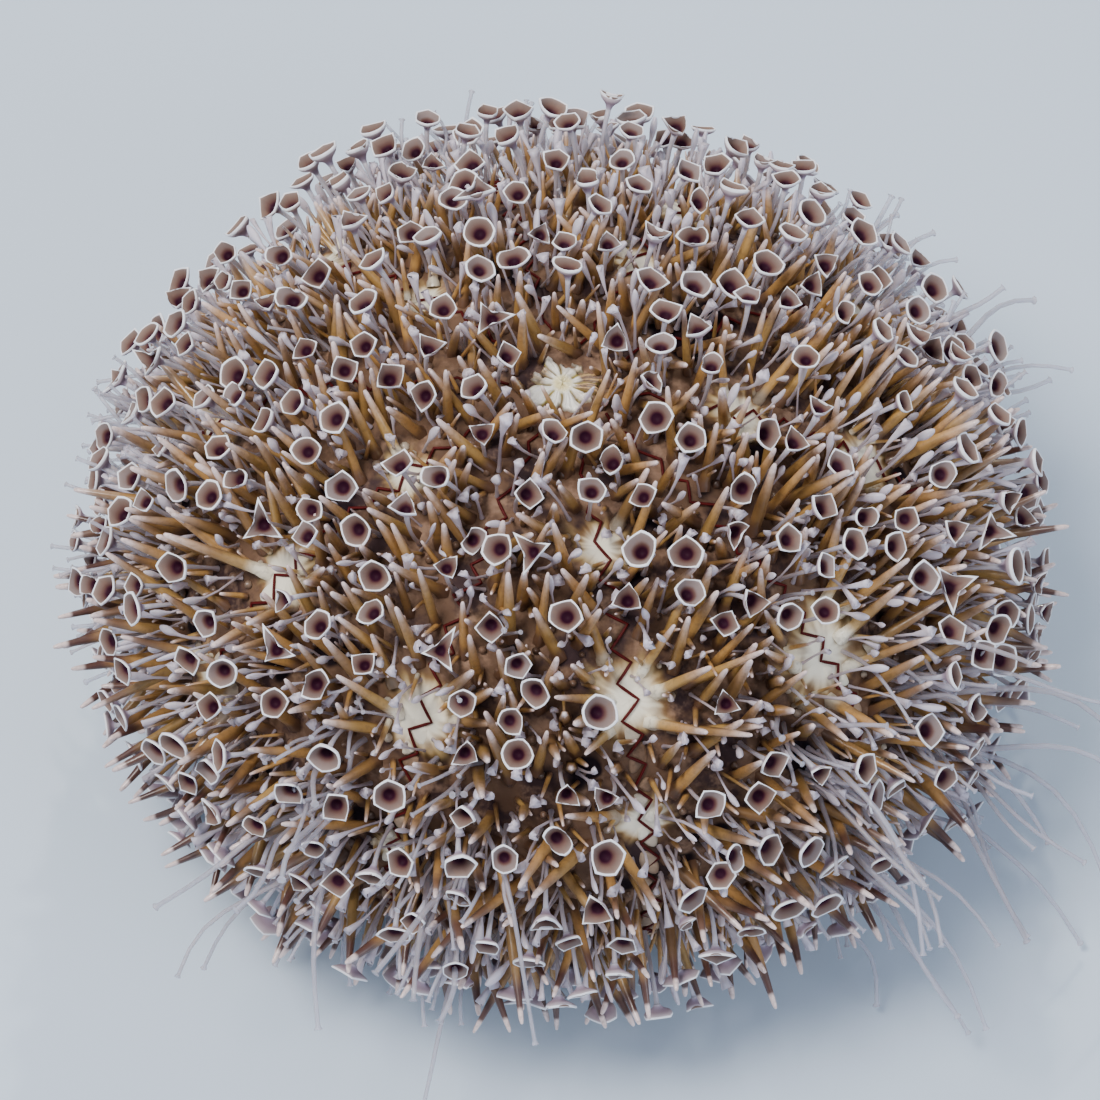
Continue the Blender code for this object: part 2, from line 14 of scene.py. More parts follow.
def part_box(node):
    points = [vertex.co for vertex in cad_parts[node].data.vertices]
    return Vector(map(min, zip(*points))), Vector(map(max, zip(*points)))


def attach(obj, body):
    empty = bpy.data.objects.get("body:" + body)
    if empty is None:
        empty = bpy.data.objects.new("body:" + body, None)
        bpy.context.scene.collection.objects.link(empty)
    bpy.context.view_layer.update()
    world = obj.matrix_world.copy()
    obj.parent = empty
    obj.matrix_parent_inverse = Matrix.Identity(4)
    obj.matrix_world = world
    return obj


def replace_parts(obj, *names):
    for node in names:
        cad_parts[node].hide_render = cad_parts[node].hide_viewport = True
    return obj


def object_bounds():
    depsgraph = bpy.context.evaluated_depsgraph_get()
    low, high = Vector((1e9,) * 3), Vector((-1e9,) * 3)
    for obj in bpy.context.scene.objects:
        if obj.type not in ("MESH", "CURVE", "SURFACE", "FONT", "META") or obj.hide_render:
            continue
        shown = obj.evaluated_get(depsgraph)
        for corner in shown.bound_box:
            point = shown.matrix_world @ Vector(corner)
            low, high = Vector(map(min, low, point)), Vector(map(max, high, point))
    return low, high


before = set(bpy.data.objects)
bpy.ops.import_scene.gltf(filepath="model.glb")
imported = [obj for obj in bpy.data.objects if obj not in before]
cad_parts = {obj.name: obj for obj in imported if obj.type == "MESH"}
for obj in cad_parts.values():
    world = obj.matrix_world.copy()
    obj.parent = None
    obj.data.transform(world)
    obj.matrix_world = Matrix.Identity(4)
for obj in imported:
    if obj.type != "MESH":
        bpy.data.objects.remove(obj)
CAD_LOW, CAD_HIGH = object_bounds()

# The test, as in the construction
TEST_RADIUS = 0.053
AMBITUS_HEIGHT = 0.026
CROWN_HEIGHT = 0.042
BASE_DEPTH = 0.018
CROWN_FULLNESS = 2.15
BASE_FULLNESS = 2.8
APICAL_RADIUS = 0.0068
PERISTOME_RADIUS = 0.0150
PERISTOME_RECESS = 0.0060
MOUTH_RADIUS = 0.0034
SECTORS = 10
FIRST_MIDLINE = math.radians(-78)
SECTOR_STEP = math.tau / SECTORS
INTER_HALF_ANGLE = math.radians(22.5)
TOOTH_COUNT = 5
FOOT_SIDE = math.radians(-60)
VIEW_ELEVATION = math.radians(58)
CROWN_EDGE = math.radians(66)

# Directions in the picture, as the camera sees it
TO_VIEWER = np.array([0, -math.cos(VIEW_ELEVATION), math.sin(VIEW_ELEVATION)])
PICTURE_UP = np.array([0, math.sin(VIEW_ELEVATION), math.cos(VIEW_ELEVATION)])

# The axis of the animal stands a little off the middle of its overall box
AXIS = sum(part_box("apical_disc"), Vector()) / 2
AXIS = np.array([AXIS.x, AXIS.y, 0.0])

FLOOR_MARGIN = 0.0002
FLOOR_SKIM = 0.00005
PATCH = 0.003
rng = np.random.default_rng(23)


# The test's surface

def power(values, exponent):
    return np.sign(values) * np.abs(values) ** exponent


def meridian(polar):
    """Radius and height of the test at polar angles from the apex."""
    up = polar <= math.pi / 2
    fullness = np.where(up, CROWN_FULLNESS, BASE_FULLNESS)
    half_height = np.where(up, CROWN_HEIGHT, BASE_DEPTH)
    radius = TEST_RADIUS * power(np.sin(polar), 2 / fullness)
    return radius, AMBITUS_HEIGHT + half_height * power(np.cos(polar), 2 / fullness)


def unit(vectors):
    return vectors / np.maximum(np.linalg.norm(vectors, axis=-1, keepdims=True), 1e-12)


def surface(azimuth, polar):
    """Places on the test, with the outward normal, the way down and the way round at each."""
    azimuth, polar = np.broadcast_arrays(np.asarray(azimuth, float), np.asarray(polar, float))
    radius, height = meridian(polar)
    above, below = meridian(np.maximum(polar - 0.01, 0)), meridian(np.minimum(polar + 0.01, math.pi))
    level = np.zeros_like(azimuth)
    across = np.stack([np.cos(azimuth), np.sin(azimuth), level], -1)
    around = np.stack([-np.sin(azimuth), np.cos(azimuth), level], -1)
    up = np.stack([level, level, level + 1], -1)
    down = unit(across * (below[0] - above[0])[..., None] + up * (below[1] - above[1])[..., None])
    place = across * radius[..., None] + up * height[..., None] + AXIS
    return place, np.cross(down, around), down, around


def polar_at(radius, low, high):
    """Polar angle between low and high where the test has this radius."""
    polars = np.linspace(low, high, 4000)
    return float(polars[np.abs(meridian(polars)[0] - radius).argmin()])


FIRST_POLAR = polar_at(APICAL_RADIUS, 0, math.pi / 2)
LAST_POLAR = polar_at(PERISTOME_RADIUS, math.pi / 2, math.pi)
DISC_EDGE, MOUTH_RIM = meridian(np.array([FIRST_POLAR, LAST_POLAR]))[1]
LOWEST_ROOT = LAST_POLAR * 0.985
POLARS = np.linspace(0, LAST_POLAR, 800)
RADII, HEIGHTS = meridian(POLARS)
STEPS = np.hypot(np.diff(RADII), np.diff(HEIGHTS))
ARC = np.concatenate([[0], np.cumsum(STEPS)])
AREA = np.concatenate([[0], np.cumsum(STEPS * (RADII[1:] + RADII[:-1]) / 2)])
AREA /= AREA[-1]


def unwrap(azimuth, polar):
    """The skin laid flat: the apex in the middle, each meridian a straight ray."""
    reach = 0.49 * np.interp(polar, POLARS, ARC) / ARC[-1]
    return np.stack([0.5 + reach * np.cos(azimuth), 0.5 + reach * np.sin(azimuth)], -1)


def off_midline(azimuth, polar):
    """Distance round the test from the nearest midline of a sector, and that sector's number."""
    turns = (azimuth - FIRST_MIDLINE) / SECTOR_STEP
    number = np.round(turns)
    return meridian(polar)[0] * (turns - number) * SECTOR_STEP, number.astype(int) % SECTORS


def in_ambulacrum(azimuth):
    """True where an azimuth falls in one of the five narrower sectors."""
    turn = (azimuth - FIRST_MIDLINE + INTER_HALF_ANGLE) % (2 * SECTOR_STEP)
    return turn > 2 * INTER_HALF_ANGLE


# Pale patches, where the skin is thin over the test: sector number, polar angle and radius

PALE_PATCHES = [
    (0, 23, 0.0030), (0, 46, 0.0046), (0, 67, 0.0028),
    (1, 54, 0.0054), (1, 80, 0.0022),
    (2, 23, 0.0034), (2, 45, 0.0036), (2, 72, 0.0030),
    (3, 57, 0.0032),
    (4, 24, 0.0026), (4, 45, 0.0040), (4, 69, 0.0030),
    (5, 50, 0.0036),
    (6, 24, 0.0028), (6, 52, 0.0042), (6, 70, 0.0028),
    (7, 54, 0.0030),
    (8, 23, 0.0028), (8, 47, 0.0038), (8, 73, 0.0034),
    (9, 52, 0.0042), (9, 78, 0.0022),
]


def ragged(places, scale, seed):
    """Smooth noise from -1 to 1 at each place."""
    shift = Vector((seed, 2 * seed, 3 * seed))
    return np.array([noise.noise(Vector(place) * scale + shift) for place in places])


def pale_patches():
    """Centre, way down, way round and radius of each pale patch."""
    number, polar, size = np.array(PALE_PATCHES).T
    place, _, down, around = surface(FIRST_MIDLINE + number * SECTOR_STEP, np.radians(polar))
    return place, down, around, size


def paleness(places):
    """How bare the test is at each place, from 0 to 1, and its place in the nearest pale patch in mm."""
    centre, down, around, size = pale_patches()
    away = np.linalg.norm(places[:, None] - centre[None], axis=2) / size[None]
    nearest = away.argmin(1)
    across = places - centre[nearest]
    fall, swing = ((across * way[nearest]).sum(1) * 1000 for way in (down, around))
    ratio = away.min(1) * (1 + 0.35 * ragged(places, 240, 4.0))
    return np.exp(-(ratio**2.0)), fall, swing


def scatter(tries, apart, top, bottom, keep=None):
    """Places on the test no nearer to each other than apart, between two polar angles."""
    low, high = np.interp([top, bottom], POLARS, AREA)
    azimuth = rng.uniform(0, math.tau, tries)
    polar = np.interp(rng.uniform(low, high, tries), AREA, POLARS)
    if keep is not None:
        kept = keep(azimuth, polar)
        azimuth, polar = azimuth[kept], polar[kept]
    spots = surface(azimuth, polar)[0]
    cells = np.floor(spots / apart).astype(int)
    grid, chosen = {}, []
    for i, (x, y, z) in enumerate(cells):
        near = [
            j
            for a in (x - 1, x, x + 1)
            for b in (y - 1, y, y + 1)
            for c in (z - 1, z, z + 1)
            for j in grid.get((a, b, c), ())
        ]
        if near and (((spots[near] - spots[i]) ** 2).sum(1) < apart**2).any():
            continue
        grid.setdefault((x, y, z), []).append(i)
        chosen.append(i)
    return azimuth[chosen], polar[chosen]


class Thicket:
    """Everything placed so far, as balls, so that new forms can keep clear of it."""

    def __init__(self):
        self.balls = np.empty((0, 4))

    def clear(self, points, radius):
        if not len(self.balls):
            return True
        gaps = np.linalg.norm(points[:, None] - self.balls[None, :, :3], axis=2)
        return bool((gaps > self.balls[None, :, 3] + radius).all())

    def add(self, points, radius):
        grown = np.column_stack([points, np.full(len(points), radius)])
        self.balls = np.vstack([self.balls, grown])


# Meshes

def add_object(name, data):
    made = bpy.data.objects.new(name, data)
    bpy.context.scene.collection.objects.link(made)
    return made


def mesh_piece(name, points, faces, values, uv, look):
    """A smooth mesh object from arrays of points, triangles and quads, with named point values."""
    data = bpy.data.meshes.new(name)
    data.from_pydata(points, [], faces)
    data.shade_smooth()
    for key, numbers in values.items():
        layer = data.attributes.new(key, "FLOAT", "POINT")
        layer.data.foreach_set("value", np.asarray(numbers, np.float32).ravel())
    if uv is not None:
        layer = data.uv_layers.new(name="OFBake")
        layer.data.foreach_set("uv", np.asarray(uv, np.float32).ravel())
    data.materials.append(look)
    made = add_object(name, data)
    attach(made, "root")
    return made


def even_turns(sides):
    """Angles at even steps round a full turn."""
    return np.arange(sides) * math.tau / sides


def round_grid(levels, columns):
    """Each level with each of the even turns, ring by ring."""
    return [grid.ravel() for grid in np.meshgrid(levels, even_turns(columns), indexing="ij")]


def ring_faces(rows, columns):
    """Quads between neighbouring closed rings of points, from the first ring outwards or down."""
    here = np.arange((rows - 1) * columns)
    after = here - here % columns + (here + 1) % columns
    return np.stack([here, here + columns, after + columns, after], 1)


def sweep(centres, tangents, radii, guide, angles):
    """Rings of points round many paths (n, stations, 3), at one set of angles or at each path's own."""
    side = unit(np.cross(tangents, guide[:, None]))
    other = np.cross(tangents, side)
    angles = np.atleast_2d(angles)
    cosine, sine = (share[:, None, :, None] for share in (np.cos(angles), np.sin(angles)))
    wheel = side[:, :, None] * cosine + other[:, :, None] * sine
    return centres[:, :, None] + wheel * radii[..., None]


def tubes(name, rings, tips, values, roots, look):
    """One joined mesh of tubes that are closed by their tips. Each is a small patch of the OFBake map."""
    count, stations, sides = rings.shape[:3]
    each = stations * sides + 1
    points = np.concatenate([rings.reshape(count, -1, 3), tips[:, None]], 1).reshape(-1, 3)
    quads = ring_faces(stations, sides)[:, [0, 3, 2, 1]]
    side, last = np.arange(sides), (stations - 1) * sides
    caps = np.stack([last + side, last + (side + 1) % sides, np.full(sides, each - 1)], 1)
    starts = (np.arange(count) * each)[:, None, None]
    faces = (quads[None] + starts).reshape(-1, 4).tolist() + (caps[None] + starts).reshape(-1, 3).tolist()
    spots = np.stack(np.divmod(np.arange(stations * sides), sides)[::-1], 1)[:, None]
    shapes = (spots[:last], [[0, 0], [1, 0], [1, 1], [0, 1]]), (spots[last:], [[0, 0], [1, 0], [0.5, 1]])
    local = [(spot + np.array(corners)) / [sides, stations] for spot, corners in shapes]
    uv = [(roots[:, None, None] + (part[None] - 0.5) * PATCH).reshape(-1, 2) for part in local]
    uv = np.concatenate(uv)
    spread = {}
    for key, numbers in values.items():
        numbers = np.broadcast_to(numbers, (count, stations + 1))
        body = np.repeat(numbers[:, :-1], sides, axis=1)
        spread[key] = np.concatenate([body, numbers[:, -1:]], 1)
    return mesh_piece(name, points, faces, spread, uv, look)


def quarters(name, azimuth, polar, rings, tips, values, roots, look):
    """One family in four pieces: the crown and the flanks, each of the broad and the narrow sectors.

    Values in rows belong to single forms, and the others hold for all of them.
    """
    narrow, crown = in_ambulacrum(azimuth), polar < CROWN_EDGE
    for level, band in (("crown", crown), ("flank", ~crown)):
        for sector, chosen in (("interambulacral", band & ~narrow), ("ambulacral", band & narrow)):
            own = {key: part[chosen] if np.ndim(part) == 2 else part for key, part in values.items()}
            whole = f"{level}_{sector}_{name}"
            tubes(whole, rings[chosen], tips[chosen], own, roots[chosen], look)


# Materials

class Wire:
    """An output socket of a material, which takes part in arithmetic by adding Math nodes."""

    def __init__(self, look, socket):
        self.look, self.socket = look, socket

    def math(self, operation, first, second=0.0):
        return self.look.add("ShaderNodeMath", {"operation": operation}, {0: first, 1: second})

    def __add__(self, other):
        return self.math("ADD", self, other)

    def __sub__(self, other):
        return self.math("SUBTRACT", self, other)

    def __rsub__(self, other):
        return self.math("SUBTRACT", other, self)

    def __mul__(self, other):
        return self.math("MULTIPLY", self, other)

    def __truediv__(self, other):
        return self.math("DIVIDE", self, other)

    def __pow__(self, other):
        return self.math("POWER", self, other)

    __radd__ = __add__
    __rmul__ = __mul__

    def fraction(self):
        """What a value has above its whole number."""
        return self.look.add("ShaderNodeMath", {"operation": "FRACT"}, {0: self})

    def between(self, low, high):
        """0 below low and 1 above high, with a smooth step in between."""
        values = {"Value": self, "From Min": low, "From Max": high}
        return self.look.add("ShaderNodeMapRange", {"interpolation_type": "SMOOTHSTEP"}, values)


class Look:
    """A material that is built up node by node and ends in one Principled shader."""

    def __init__(self, name):
        self.made = bpy.data.materials.new(name)
        self.made.use_nodes = True
        self.tree = self.made.node_tree
        self.shader = self.tree.nodes["Principled BSDF"]

    def add(self, kind, settings, values, out=0):
        """Adds a node: its settings first, then the values or wires of its sockets."""
        made = self.tree.nodes.new(kind)
        for key, value in settings.items():
            if key == "stops":
                ramp = made.color_ramp.elements
                while len(ramp) < len(value):
                    ramp.new(0.5)
                for stop, (place, colour) in zip(ramp, value):
                    stop.position, stop.color = place, (*colour, 1)
            else:
                setattr(made, key, value)
        for key, value in values.items():
            self.plug(made.inputs[key], value)
        return Wire(self, made.outputs[out])

    def plug(self, socket, value):
        if isinstance(value, Wire):
            self.tree.links.new(value.socket, socket)
        elif isinstance(value, tuple) and len(value) == 3 and len(socket.default_value) == 4:
            socket.default_value = (*value, 1)
        else:
            socket.default_value = value

    def value(self, name):
        """A number stored at the mesh's points."""
        return self.add("ShaderNodeAttribute", {"attribute_name": name}, {}, "Fac")

    def place(self):
        return self.add("ShaderNodeTexCoord", {}, {}, "Object")

    def noise(self, scale, detail=3.0, roughness=0.55, vector=None):
        vector = vector or self.place()
        values = {"Vector": vector, "Scale": scale, "Detail": detail, "Roughness": roughness}
        return self.add("ShaderNodeTexNoise", {}, values, "Fac")

    def ramp(self, value, stops):
        return self.add("ShaderNodeValToRGB", {"stops": stops}, {"Fac": value}, "Color")

    def blend(self, share, first, second):
        settings = {"data_type": "RGBA", "clamp_factor": True}
        return self.add("ShaderNodeMix", settings, {0: share, 6: first, 7: second}, 2)

    def bump(self, height, distance, strength=1.0):
        values = {"Height": height, "Distance": distance, "Strength": strength}
        return self.add("ShaderNodeBump", {}, values, "Normal")

    def finish(self, **sockets):
        for name, value in sockets.items():
            self.plug(self.shader.inputs[name.replace("_", " ")], value)
        return self.made


DARK_VIOLET = (0.046, 0.026, 0.027)
# Near-black for painted shade: the dark gaps deep between the forms, painted onto the skin
PAINTED_GAP_SHADE = (0.010, 0.005, 0.008)
UMBER = (0.150, 0.085, 0.053)
TAN = (0.34, 0.210, 0.140)
CREAM = (0.93, 0.87, 0.70)
STRAW = (0.60, 0.41, 0.17)
OCHRE = (0.30, 0.16, 0.050)
AMBER = (0.47, 0.245, 0.080)
OLIVE = (0.36, 0.215, 0.070)
GOLD = (0.56, 0.31, 0.070)
DUSK = (0.125, 0.062, 0.034)
CHESTNUT = (0.085, 0.034, 0.026)
ROSE_TAN = (0.55, 0.36, 0.25)
ROSE_WHITE = (0.80, 0.63, 0.60)
RIM_WHITE = (0.95, 0.95, 1.0)
HEART = (0.026, 0.004, 0.014)
MAROON = (0.046, 0.003, 0.003)


def skin_look():
    look = Look("urchin_skin")
    blotch = look.noise(190, 4)
    grain = look.noise(900, 4)
    lump = look.noise(420, 2)
    pale, fall, swing = (look.value(key) for key in ("pale", "fall", "swing"))
    base = look.blend(blotch.between(0.38, 0.54), DARK_VIOLET, UMBER)
    base = look.blend(look.noise(230, 4, 0.65).between(0.50, 0.70) * 0.85, base, TAN)
    # Painted shade: near-black blotches stand for the shaded gaps between the forms
    base = look.blend(look.noise(105, 2).between(0.60, 0.66), base, PAINTED_GAP_SHADE)
    reach = (fall * fall + swing * swing) ** 0.5 + 0.05
    heading = {0: fall / reach * 1.7, 1: swing / reach * 1.7, 2: reach * 0.16}
    ray = look.add("ShaderNodeCombineXYZ", {}, heading)
    streak = look.noise(1.7, 1, vector=ray)
    edge = pale + (streak - 0.5) * 0.6 + (grain - 0.5) * 0.12
    warm = look.blend(streak.between(0.40, 0.60), OCHRE, STRAW)
    colour = look.blend(edge.between(0.08, 0.60), base, warm)
    colour = look.blend(edge.between(0.30, 0.85), colour, CREAM)
    relief = (grain * 0.5 + lump) * (1 - pale * 0.85) + streak * pale * 0.4
    bump = look.bump(relief, 0.00035, 0.8)
    return look.finish(Base_Color=colour, Roughness=0.5 + grain * 0.2, Normal=bump, Specular_IOR_Level=0.08)


def spine_look():
    look = Look("amber_spines")
    along, tone, pale, low = (look.value(key) for key in ("along", "tone", "pale", "low"))
    streak = look.noise(1500, 2)
    shaft = look.blend(tone.between(0.1, 0.9), AMBER, OLIVE)
    shaft = look.blend((tone * 7.3).fraction().between(0.5, 0.95) * 0.8, shaft, DUSK)
    shaft = look.blend((1 - low) * 0.22, shaft, GOLD)
    bare = pale.between(0.10, 0.50)
    root = look.blend(bare, DUSK, CREAM)
    colour = look.blend(along.between(0.02, 0.22), root, shaft)
    colour = look.blend(bare * (1 - along.between(0.15, 0.55)) * 0.6, colour, STRAW)
    colour = look.blend(bare * (1 - along.between(0.04, 0.22)), colour, CREAM)
    blush = along.between(0.44, 0.86) * (0.50 + tone * 0.40) * (1 - low * 0.7)
    colour = look.blend(blush, colour, ROSE_TAN)
    colour = look.blend(along.between(0.50, 0.72) * low, colour, CHESTNUT)
    tip = along.between(0.74, 0.98) * (1 - low) + along.between(0.84, 0.89) * low
    colour = look.blend(tip, colour, ROSE_WHITE)
    colour = look.blend(streak.between(0.45, 0.7) * 0.3, colour, DUSK)
    return look.finish(Base_Color=colour, Roughness=0.38, Coat_Weight=0.4)


def cup_look():
    """Up the outside of a cup, over its white rim and down the tan inside to the dark heart."""
    look = Look("pedicellaria_cups")
    along, tone = look.value("along"), look.value("tone")
    stops = [
        (0.00, (0.52, 0.49, 0.56)),
        (0.10, (0.36, 0.29, 0.38)),
        (0.24, (0.36, 0.27, 0.33)),
        (0.38, (0.50, 0.42, 0.45)),
        (0.41, RIM_WHITE),
        (0.595, RIM_WHITE),
        (0.625, (0.28, 0.205, 0.174)),
        (0.73, (0.186, 0.122, 0.102)),
        (0.81, (0.125, 0.062, 0.052)),
        (0.858, (0.056, 0.014, 0.024)),
        (0.885, HEART),
    ]
    colour = look.ramp(along, stops)
    wall = along.between(0.585, 0.625) * (1 - along.between(0.74, 0.82))
    colour = look.blend(wall * tone.between(0.6, 1.0) * 0.45, colour, (0.32, 0.27, 0.27))
    colour = look.blend(wall * look.noise(900, 3).between(0.45, 0.75) * 0.3, colour, (0.27, 0.15, 0.10))
    return look.finish(Base_Color=colour, Roughness=0.6, Specular_IOR_Level=0.08)


def pale_flesh_look(name, base, tip, roughness, alpha=1.0):
    """Thin pale flesh that changes from base to tip along each form."""
    look = Look(name)
    along, tone = look.value("along"), look.value("tone")
    colour = look.blend(along.between(0.1, 0.8), base, tip)
    colour = look.blend(tone.between(0.3, 1.0) * 0.4, colour, (0.40, 0.31, 0.30))
    colour = look.blend(look.noise(800, 2).between(0.5, 0.8) * 0.3, colour, (0.30, 0.24, 0.26))
    return look.finish(Base_Color=colour, Roughness=roughness, Alpha=alpha, Subsurface_Weight=0.15)


def tubercle_look():
    look = Look("test_tubercles")
    pale = look.value("pale").between(0.05, 0.5)
    colour = look.blend(look.value("tone"), (0.070, 0.036, 0.022), (0.22, 0.13, 0.085))
    colour = look.blend(pale, colour, CREAM)
    return look.finish(Base_Color=colour, Roughness=0.4, Coat_Weight=0.25)


def knuckle_look():
    look = Look("plate_knuckles")
    tone, low = look.value("tone"), look.value("low")
    brown = look.blend(look.noise(400, 3).between(0.36, 0.62), (0.070, 0.033, 0.018), (0.27, 0.155, 0.090))
    brown = look.blend(low * tone * 0.8, brown, (0.62, 0.47, 0.34))
    colour = look.blend(look.value("pale").between(0.12, 0.50), brown, CREAM)
    bump = look.bump(look.noise(1100, 3), 0.0003, 0.6)
    return look.finish(Base_Color=colour, Roughness=0.55, Normal=bump, Specular_IOR_Level=0.2)


def suture_look():
    look = Look("maroon_sutures")
    colour = look.blend(look.noise(600, 3), MAROON, (0.120, 0.008, 0.008))
    return look.finish(Base_Color=colour, Roughness=0.5, Specular_IOR_Level=0.15)


def plate_look():
    look = Look("calcite_plates")
    keys = ("groove", "pale", "tone", "hub", "stripe")
    groove, pale, tone, hub, stripe = (look.value(key) for key in keys)
    grain = look.noise(1300, 4)
    around = look.blend(look.noise(300, 3).between(0.4, 0.65), DARK_VIOLET, (0.16, 0.085, 0.048))
    petal = look.blend(look.noise(700, 3), (0.80, 0.75, 0.62), (0.96, 0.95, 0.92))
    gold = look.blend(stripe.between(0.35, 0.65), (0.13, 0.055, 0.020), (0.50, 0.29, 0.090))
    petal = look.blend(tone.between(0.1, 0.8) * 0.92, petal, gold)
    petal = look.blend(hub, petal, (0.88, 0.80, 0.50))
    joint = look.blend(look.noise(500, 2).between(0.4, 0.6), (0.36, 0.29, 0.055), (0.17, 0.11, 0.03))
    colour = look.blend(pale, around, look.blend(groove, petal, joint))
    bump = look.bump(grain, 0.0003, 0.7)
    return look.finish(Base_Color=colour, Roughness=0.40, Normal=bump, Coat_Weight=0.25)


def membrane_look():
    look = Look("peristome_membrane")
    grain = look.noise(700, 4)
    colour = look.blend(look.noise(240, 3).between(0.35, 0.65), (0.22, 0.13, 0.10), (0.46, 0.34, 0.28))
    colour = look.blend(grain.between(0.55, 0.75) * 0.5, colour, (0.62, 0.55, 0.52))
    bump = look.bump(grain, 0.0005, 0.8)
    return look.finish(Base_Color=colour, Roughness=0.4, Normal=bump, Coat_Weight=0.25)


def tooth_look():
    look = Look("tooth_calcite")
    grain = look.noise(900, 3)
    colour = look.blend(grain, (0.92, 0.90, 0.84), (0.78, 0.72, 0.60))
    bump = look.bump(grain, 0.0001, 0.5)
    return look.finish(Base_Color=colour, Roughness=0.28, Normal=bump, Coat_Weight=0.3)


# The skin

def make_skin(look):
    """One lumpy surface over all ten sectors, turned in under the apical disc and at the mouth."""
    columns, rows = 480, 176
    polar = np.interp(np.linspace(0.004, 1, rows), ARC / ARC[-1], POLARS)
    polar, azimuth = round_grid(polar, columns)
    places, normal, _, _ = surface(azimuth, polar)
    lump = ragged(places, 320, 0.0) + 0.5 * ragged(places, 900, 1.0)
    lump = lump * (1 - 0.8 * paleness(places)[0])
    places = places - normal * (0.0002 + 0.0003 * np.clip(lump + 0.6, 0, 1.4))[:, None]
    throat = places[-columns:] + [0, 0, PERISTOME_RECESS * 0.8]
    points = np.vstack([places, throat])
    pale, fall, swing = paleness(points)
    values = {"pale": pale, "fall": fall, "swing": swing}
    faces = ring_faces(rows + 1, columns).tolist()
    piece = mesh_piece("skin", points, faces, values, None, look)
    names = [f"{kind}_{i}" for kind in ("interambulacrum", "ambulacrum") for i in range(1, 6)]
    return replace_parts(piece, *names)


SUTURE_CORNERS = 38
SUTURE_SWAY = 0.0011
SUTURE_WIDTH, SUTURE_HEIGHT, SUTURE_DEPTH = 0.00020, 0.00018, 0.00014
KNUCKLE_WIDTH, KNUCKLE_LENGTH, KNUCKLE_DEPTH = 0.00138, 0.00185, 0.00055
KNUCKLE_OFFSET = 0.00150


def place_sutures():
    """Corners of the zigzag in each sector: the midline, polar angle, radius and sway to either side."""
    arc = np.interp([FIRST_POLAR * 0.95, math.radians(118)], POLARS, ARC)
    shape = (SECTORS, SUTURE_CORNERS)
    level = np.linspace(*arc, SUTURE_CORNERS)[None] + rng.uniform(-0.0005, 0.0005, shape)
    polar = np.interp(level, ARC, POLARS)
    radius = meridian(polar)[0]
    sway = SUTURE_SWAY * np.clip(radius / 0.026, 0.4, 1) * rng.uniform(0.65, 1.3, shape)
    sway[:, 1::2] *= -1
    return FIRST_MIDLINE + np.arange(SECTORS)[:, None] * SECTOR_STEP, polar, radius, sway


def make_sutures(sutures, look):
    """A dark zigzag down the middle of every sector."""
    midline, polar, radius, sway = sutures
    azimuth, last = midline + sway / radius, SUTURE_CORNERS - 1
    fine, coarse = np.linspace(0, last, last * 4 + 1), np.arange(last + 1)
    finer = [np.array([np.interp(fine, coarse, row) for row in grid]) for grid in (azimuth, polar)]
    places, normal, _, _ = surface(*finer)
    side = unit(np.cross(normal, unit(np.gradient(places, axis=1))))
    angle = even_turns(6)
    wheel = side[:, :, None] * (np.cos(angle) * SUTURE_WIDTH)[:, None]
    wheel = wheel + normal[:, :, None] * (np.sin(angle) * SUTURE_HEIGHT - SUTURE_DEPTH)[:, None]
    rings = places[:, :, None] + wheel
    values = {"along": np.linspace(0, 1, rings.shape[1] + 1)}
    roots = unwrap(azimuth[:, 0], polar[:, 0])
    tubes("zigzag_sutures", rings, places[:, -1], values, roots, look)


def make_knuckles(sutures, look):
    """Low down on each sector, the rounded plate ends beside the zigzag."""
    midline, polar, radius, sway = sutures
    inner = slice(1, -1)
    back = (sway / radius - np.sign(sway) * KNUCKLE_OFFSET / radius)[:, inner]
    azimuth, polar, sway = (midline + back).ravel(), polar[:, inner].ravel(), sway[:, inner].ravel()
    low = np.clip((polar - math.radians(50)) / math.radians(30), 0, 1)
    azimuth, polar, sway, low = (part[low > 0] for part in (azimuth, polar, sway, low))
    places, normal, down, around = surface(azimuth, polar)
    count, sides = len(azimuth), 14
    angle = even_turns(sides)
    corner = np.cos(math.tau / 6) / np.cos((angle % (math.tau / 3)) - math.tau / 6)
    outline = 0.40 + 0.60 * corner
    grow = rng.uniform(0.82, 1.0, count) * np.clip(np.abs(sway) / SUTURE_SWAY, 0.5, 1.1)
    share = np.array([(1.0, 0.0), (0.95, 0.45), (0.82, 0.75), (0.58, 0.93), (0.30, 1.0)])
    wide, tall = outline * np.cos(angle) * KNUCKLE_WIDTH, outline * np.sin(angle) * KNUCKLE_LENGTH
    wheel = (around * np.sign(sway)[:, None])[:, None] * wide[None, :, None]
    wheel = wheel + down[:, None] * tall[None, :, None]
    rings = places[:, None, None] + wheel[:, None] * (share[None, :, :1] * grow[:, None, None])[..., None]
    pale = paleness(places)[0]
    rise = 0.00030 + 0.00040 * low - 0.00010 * pale
    level = share[:, 1] * rise[:, None] - KNUCKLE_DEPTH
    rings = rings + normal[:, None, None] * level[..., None, None]
    tips = places + normal * (rise - KNUCKLE_DEPTH)[:, None]
    values = {"pale": pale[:, None], "tone": rng.random(count)[:, None], "low": low[:, None]}
    tubes("plate_knuckles", rings, tips, values, unwrap(azimuth, polar), look)


# Spines and smaller forms

def lean(normal, down, around, amount):
    """The normal of each place, tilted at random by up to amount."""
    tilt = amount * np.sqrt(rng.random(len(normal)))
    heading = rng.uniform(0, math.tau, len(normal))
    way = down * np.cos(heading)[:, None] + around * np.sin(heading)[:, None]
    return unit(normal + way * tilt[:, None])


def above_floor(places, ways, lengths):
    """Lengths cut short where a form would pass the floor."""
    fall = np.maximum(-ways[:, 2], 1e-6)
    return np.minimum(lengths, (places[:, 2] - FLOOR_MARGIN) / fall)


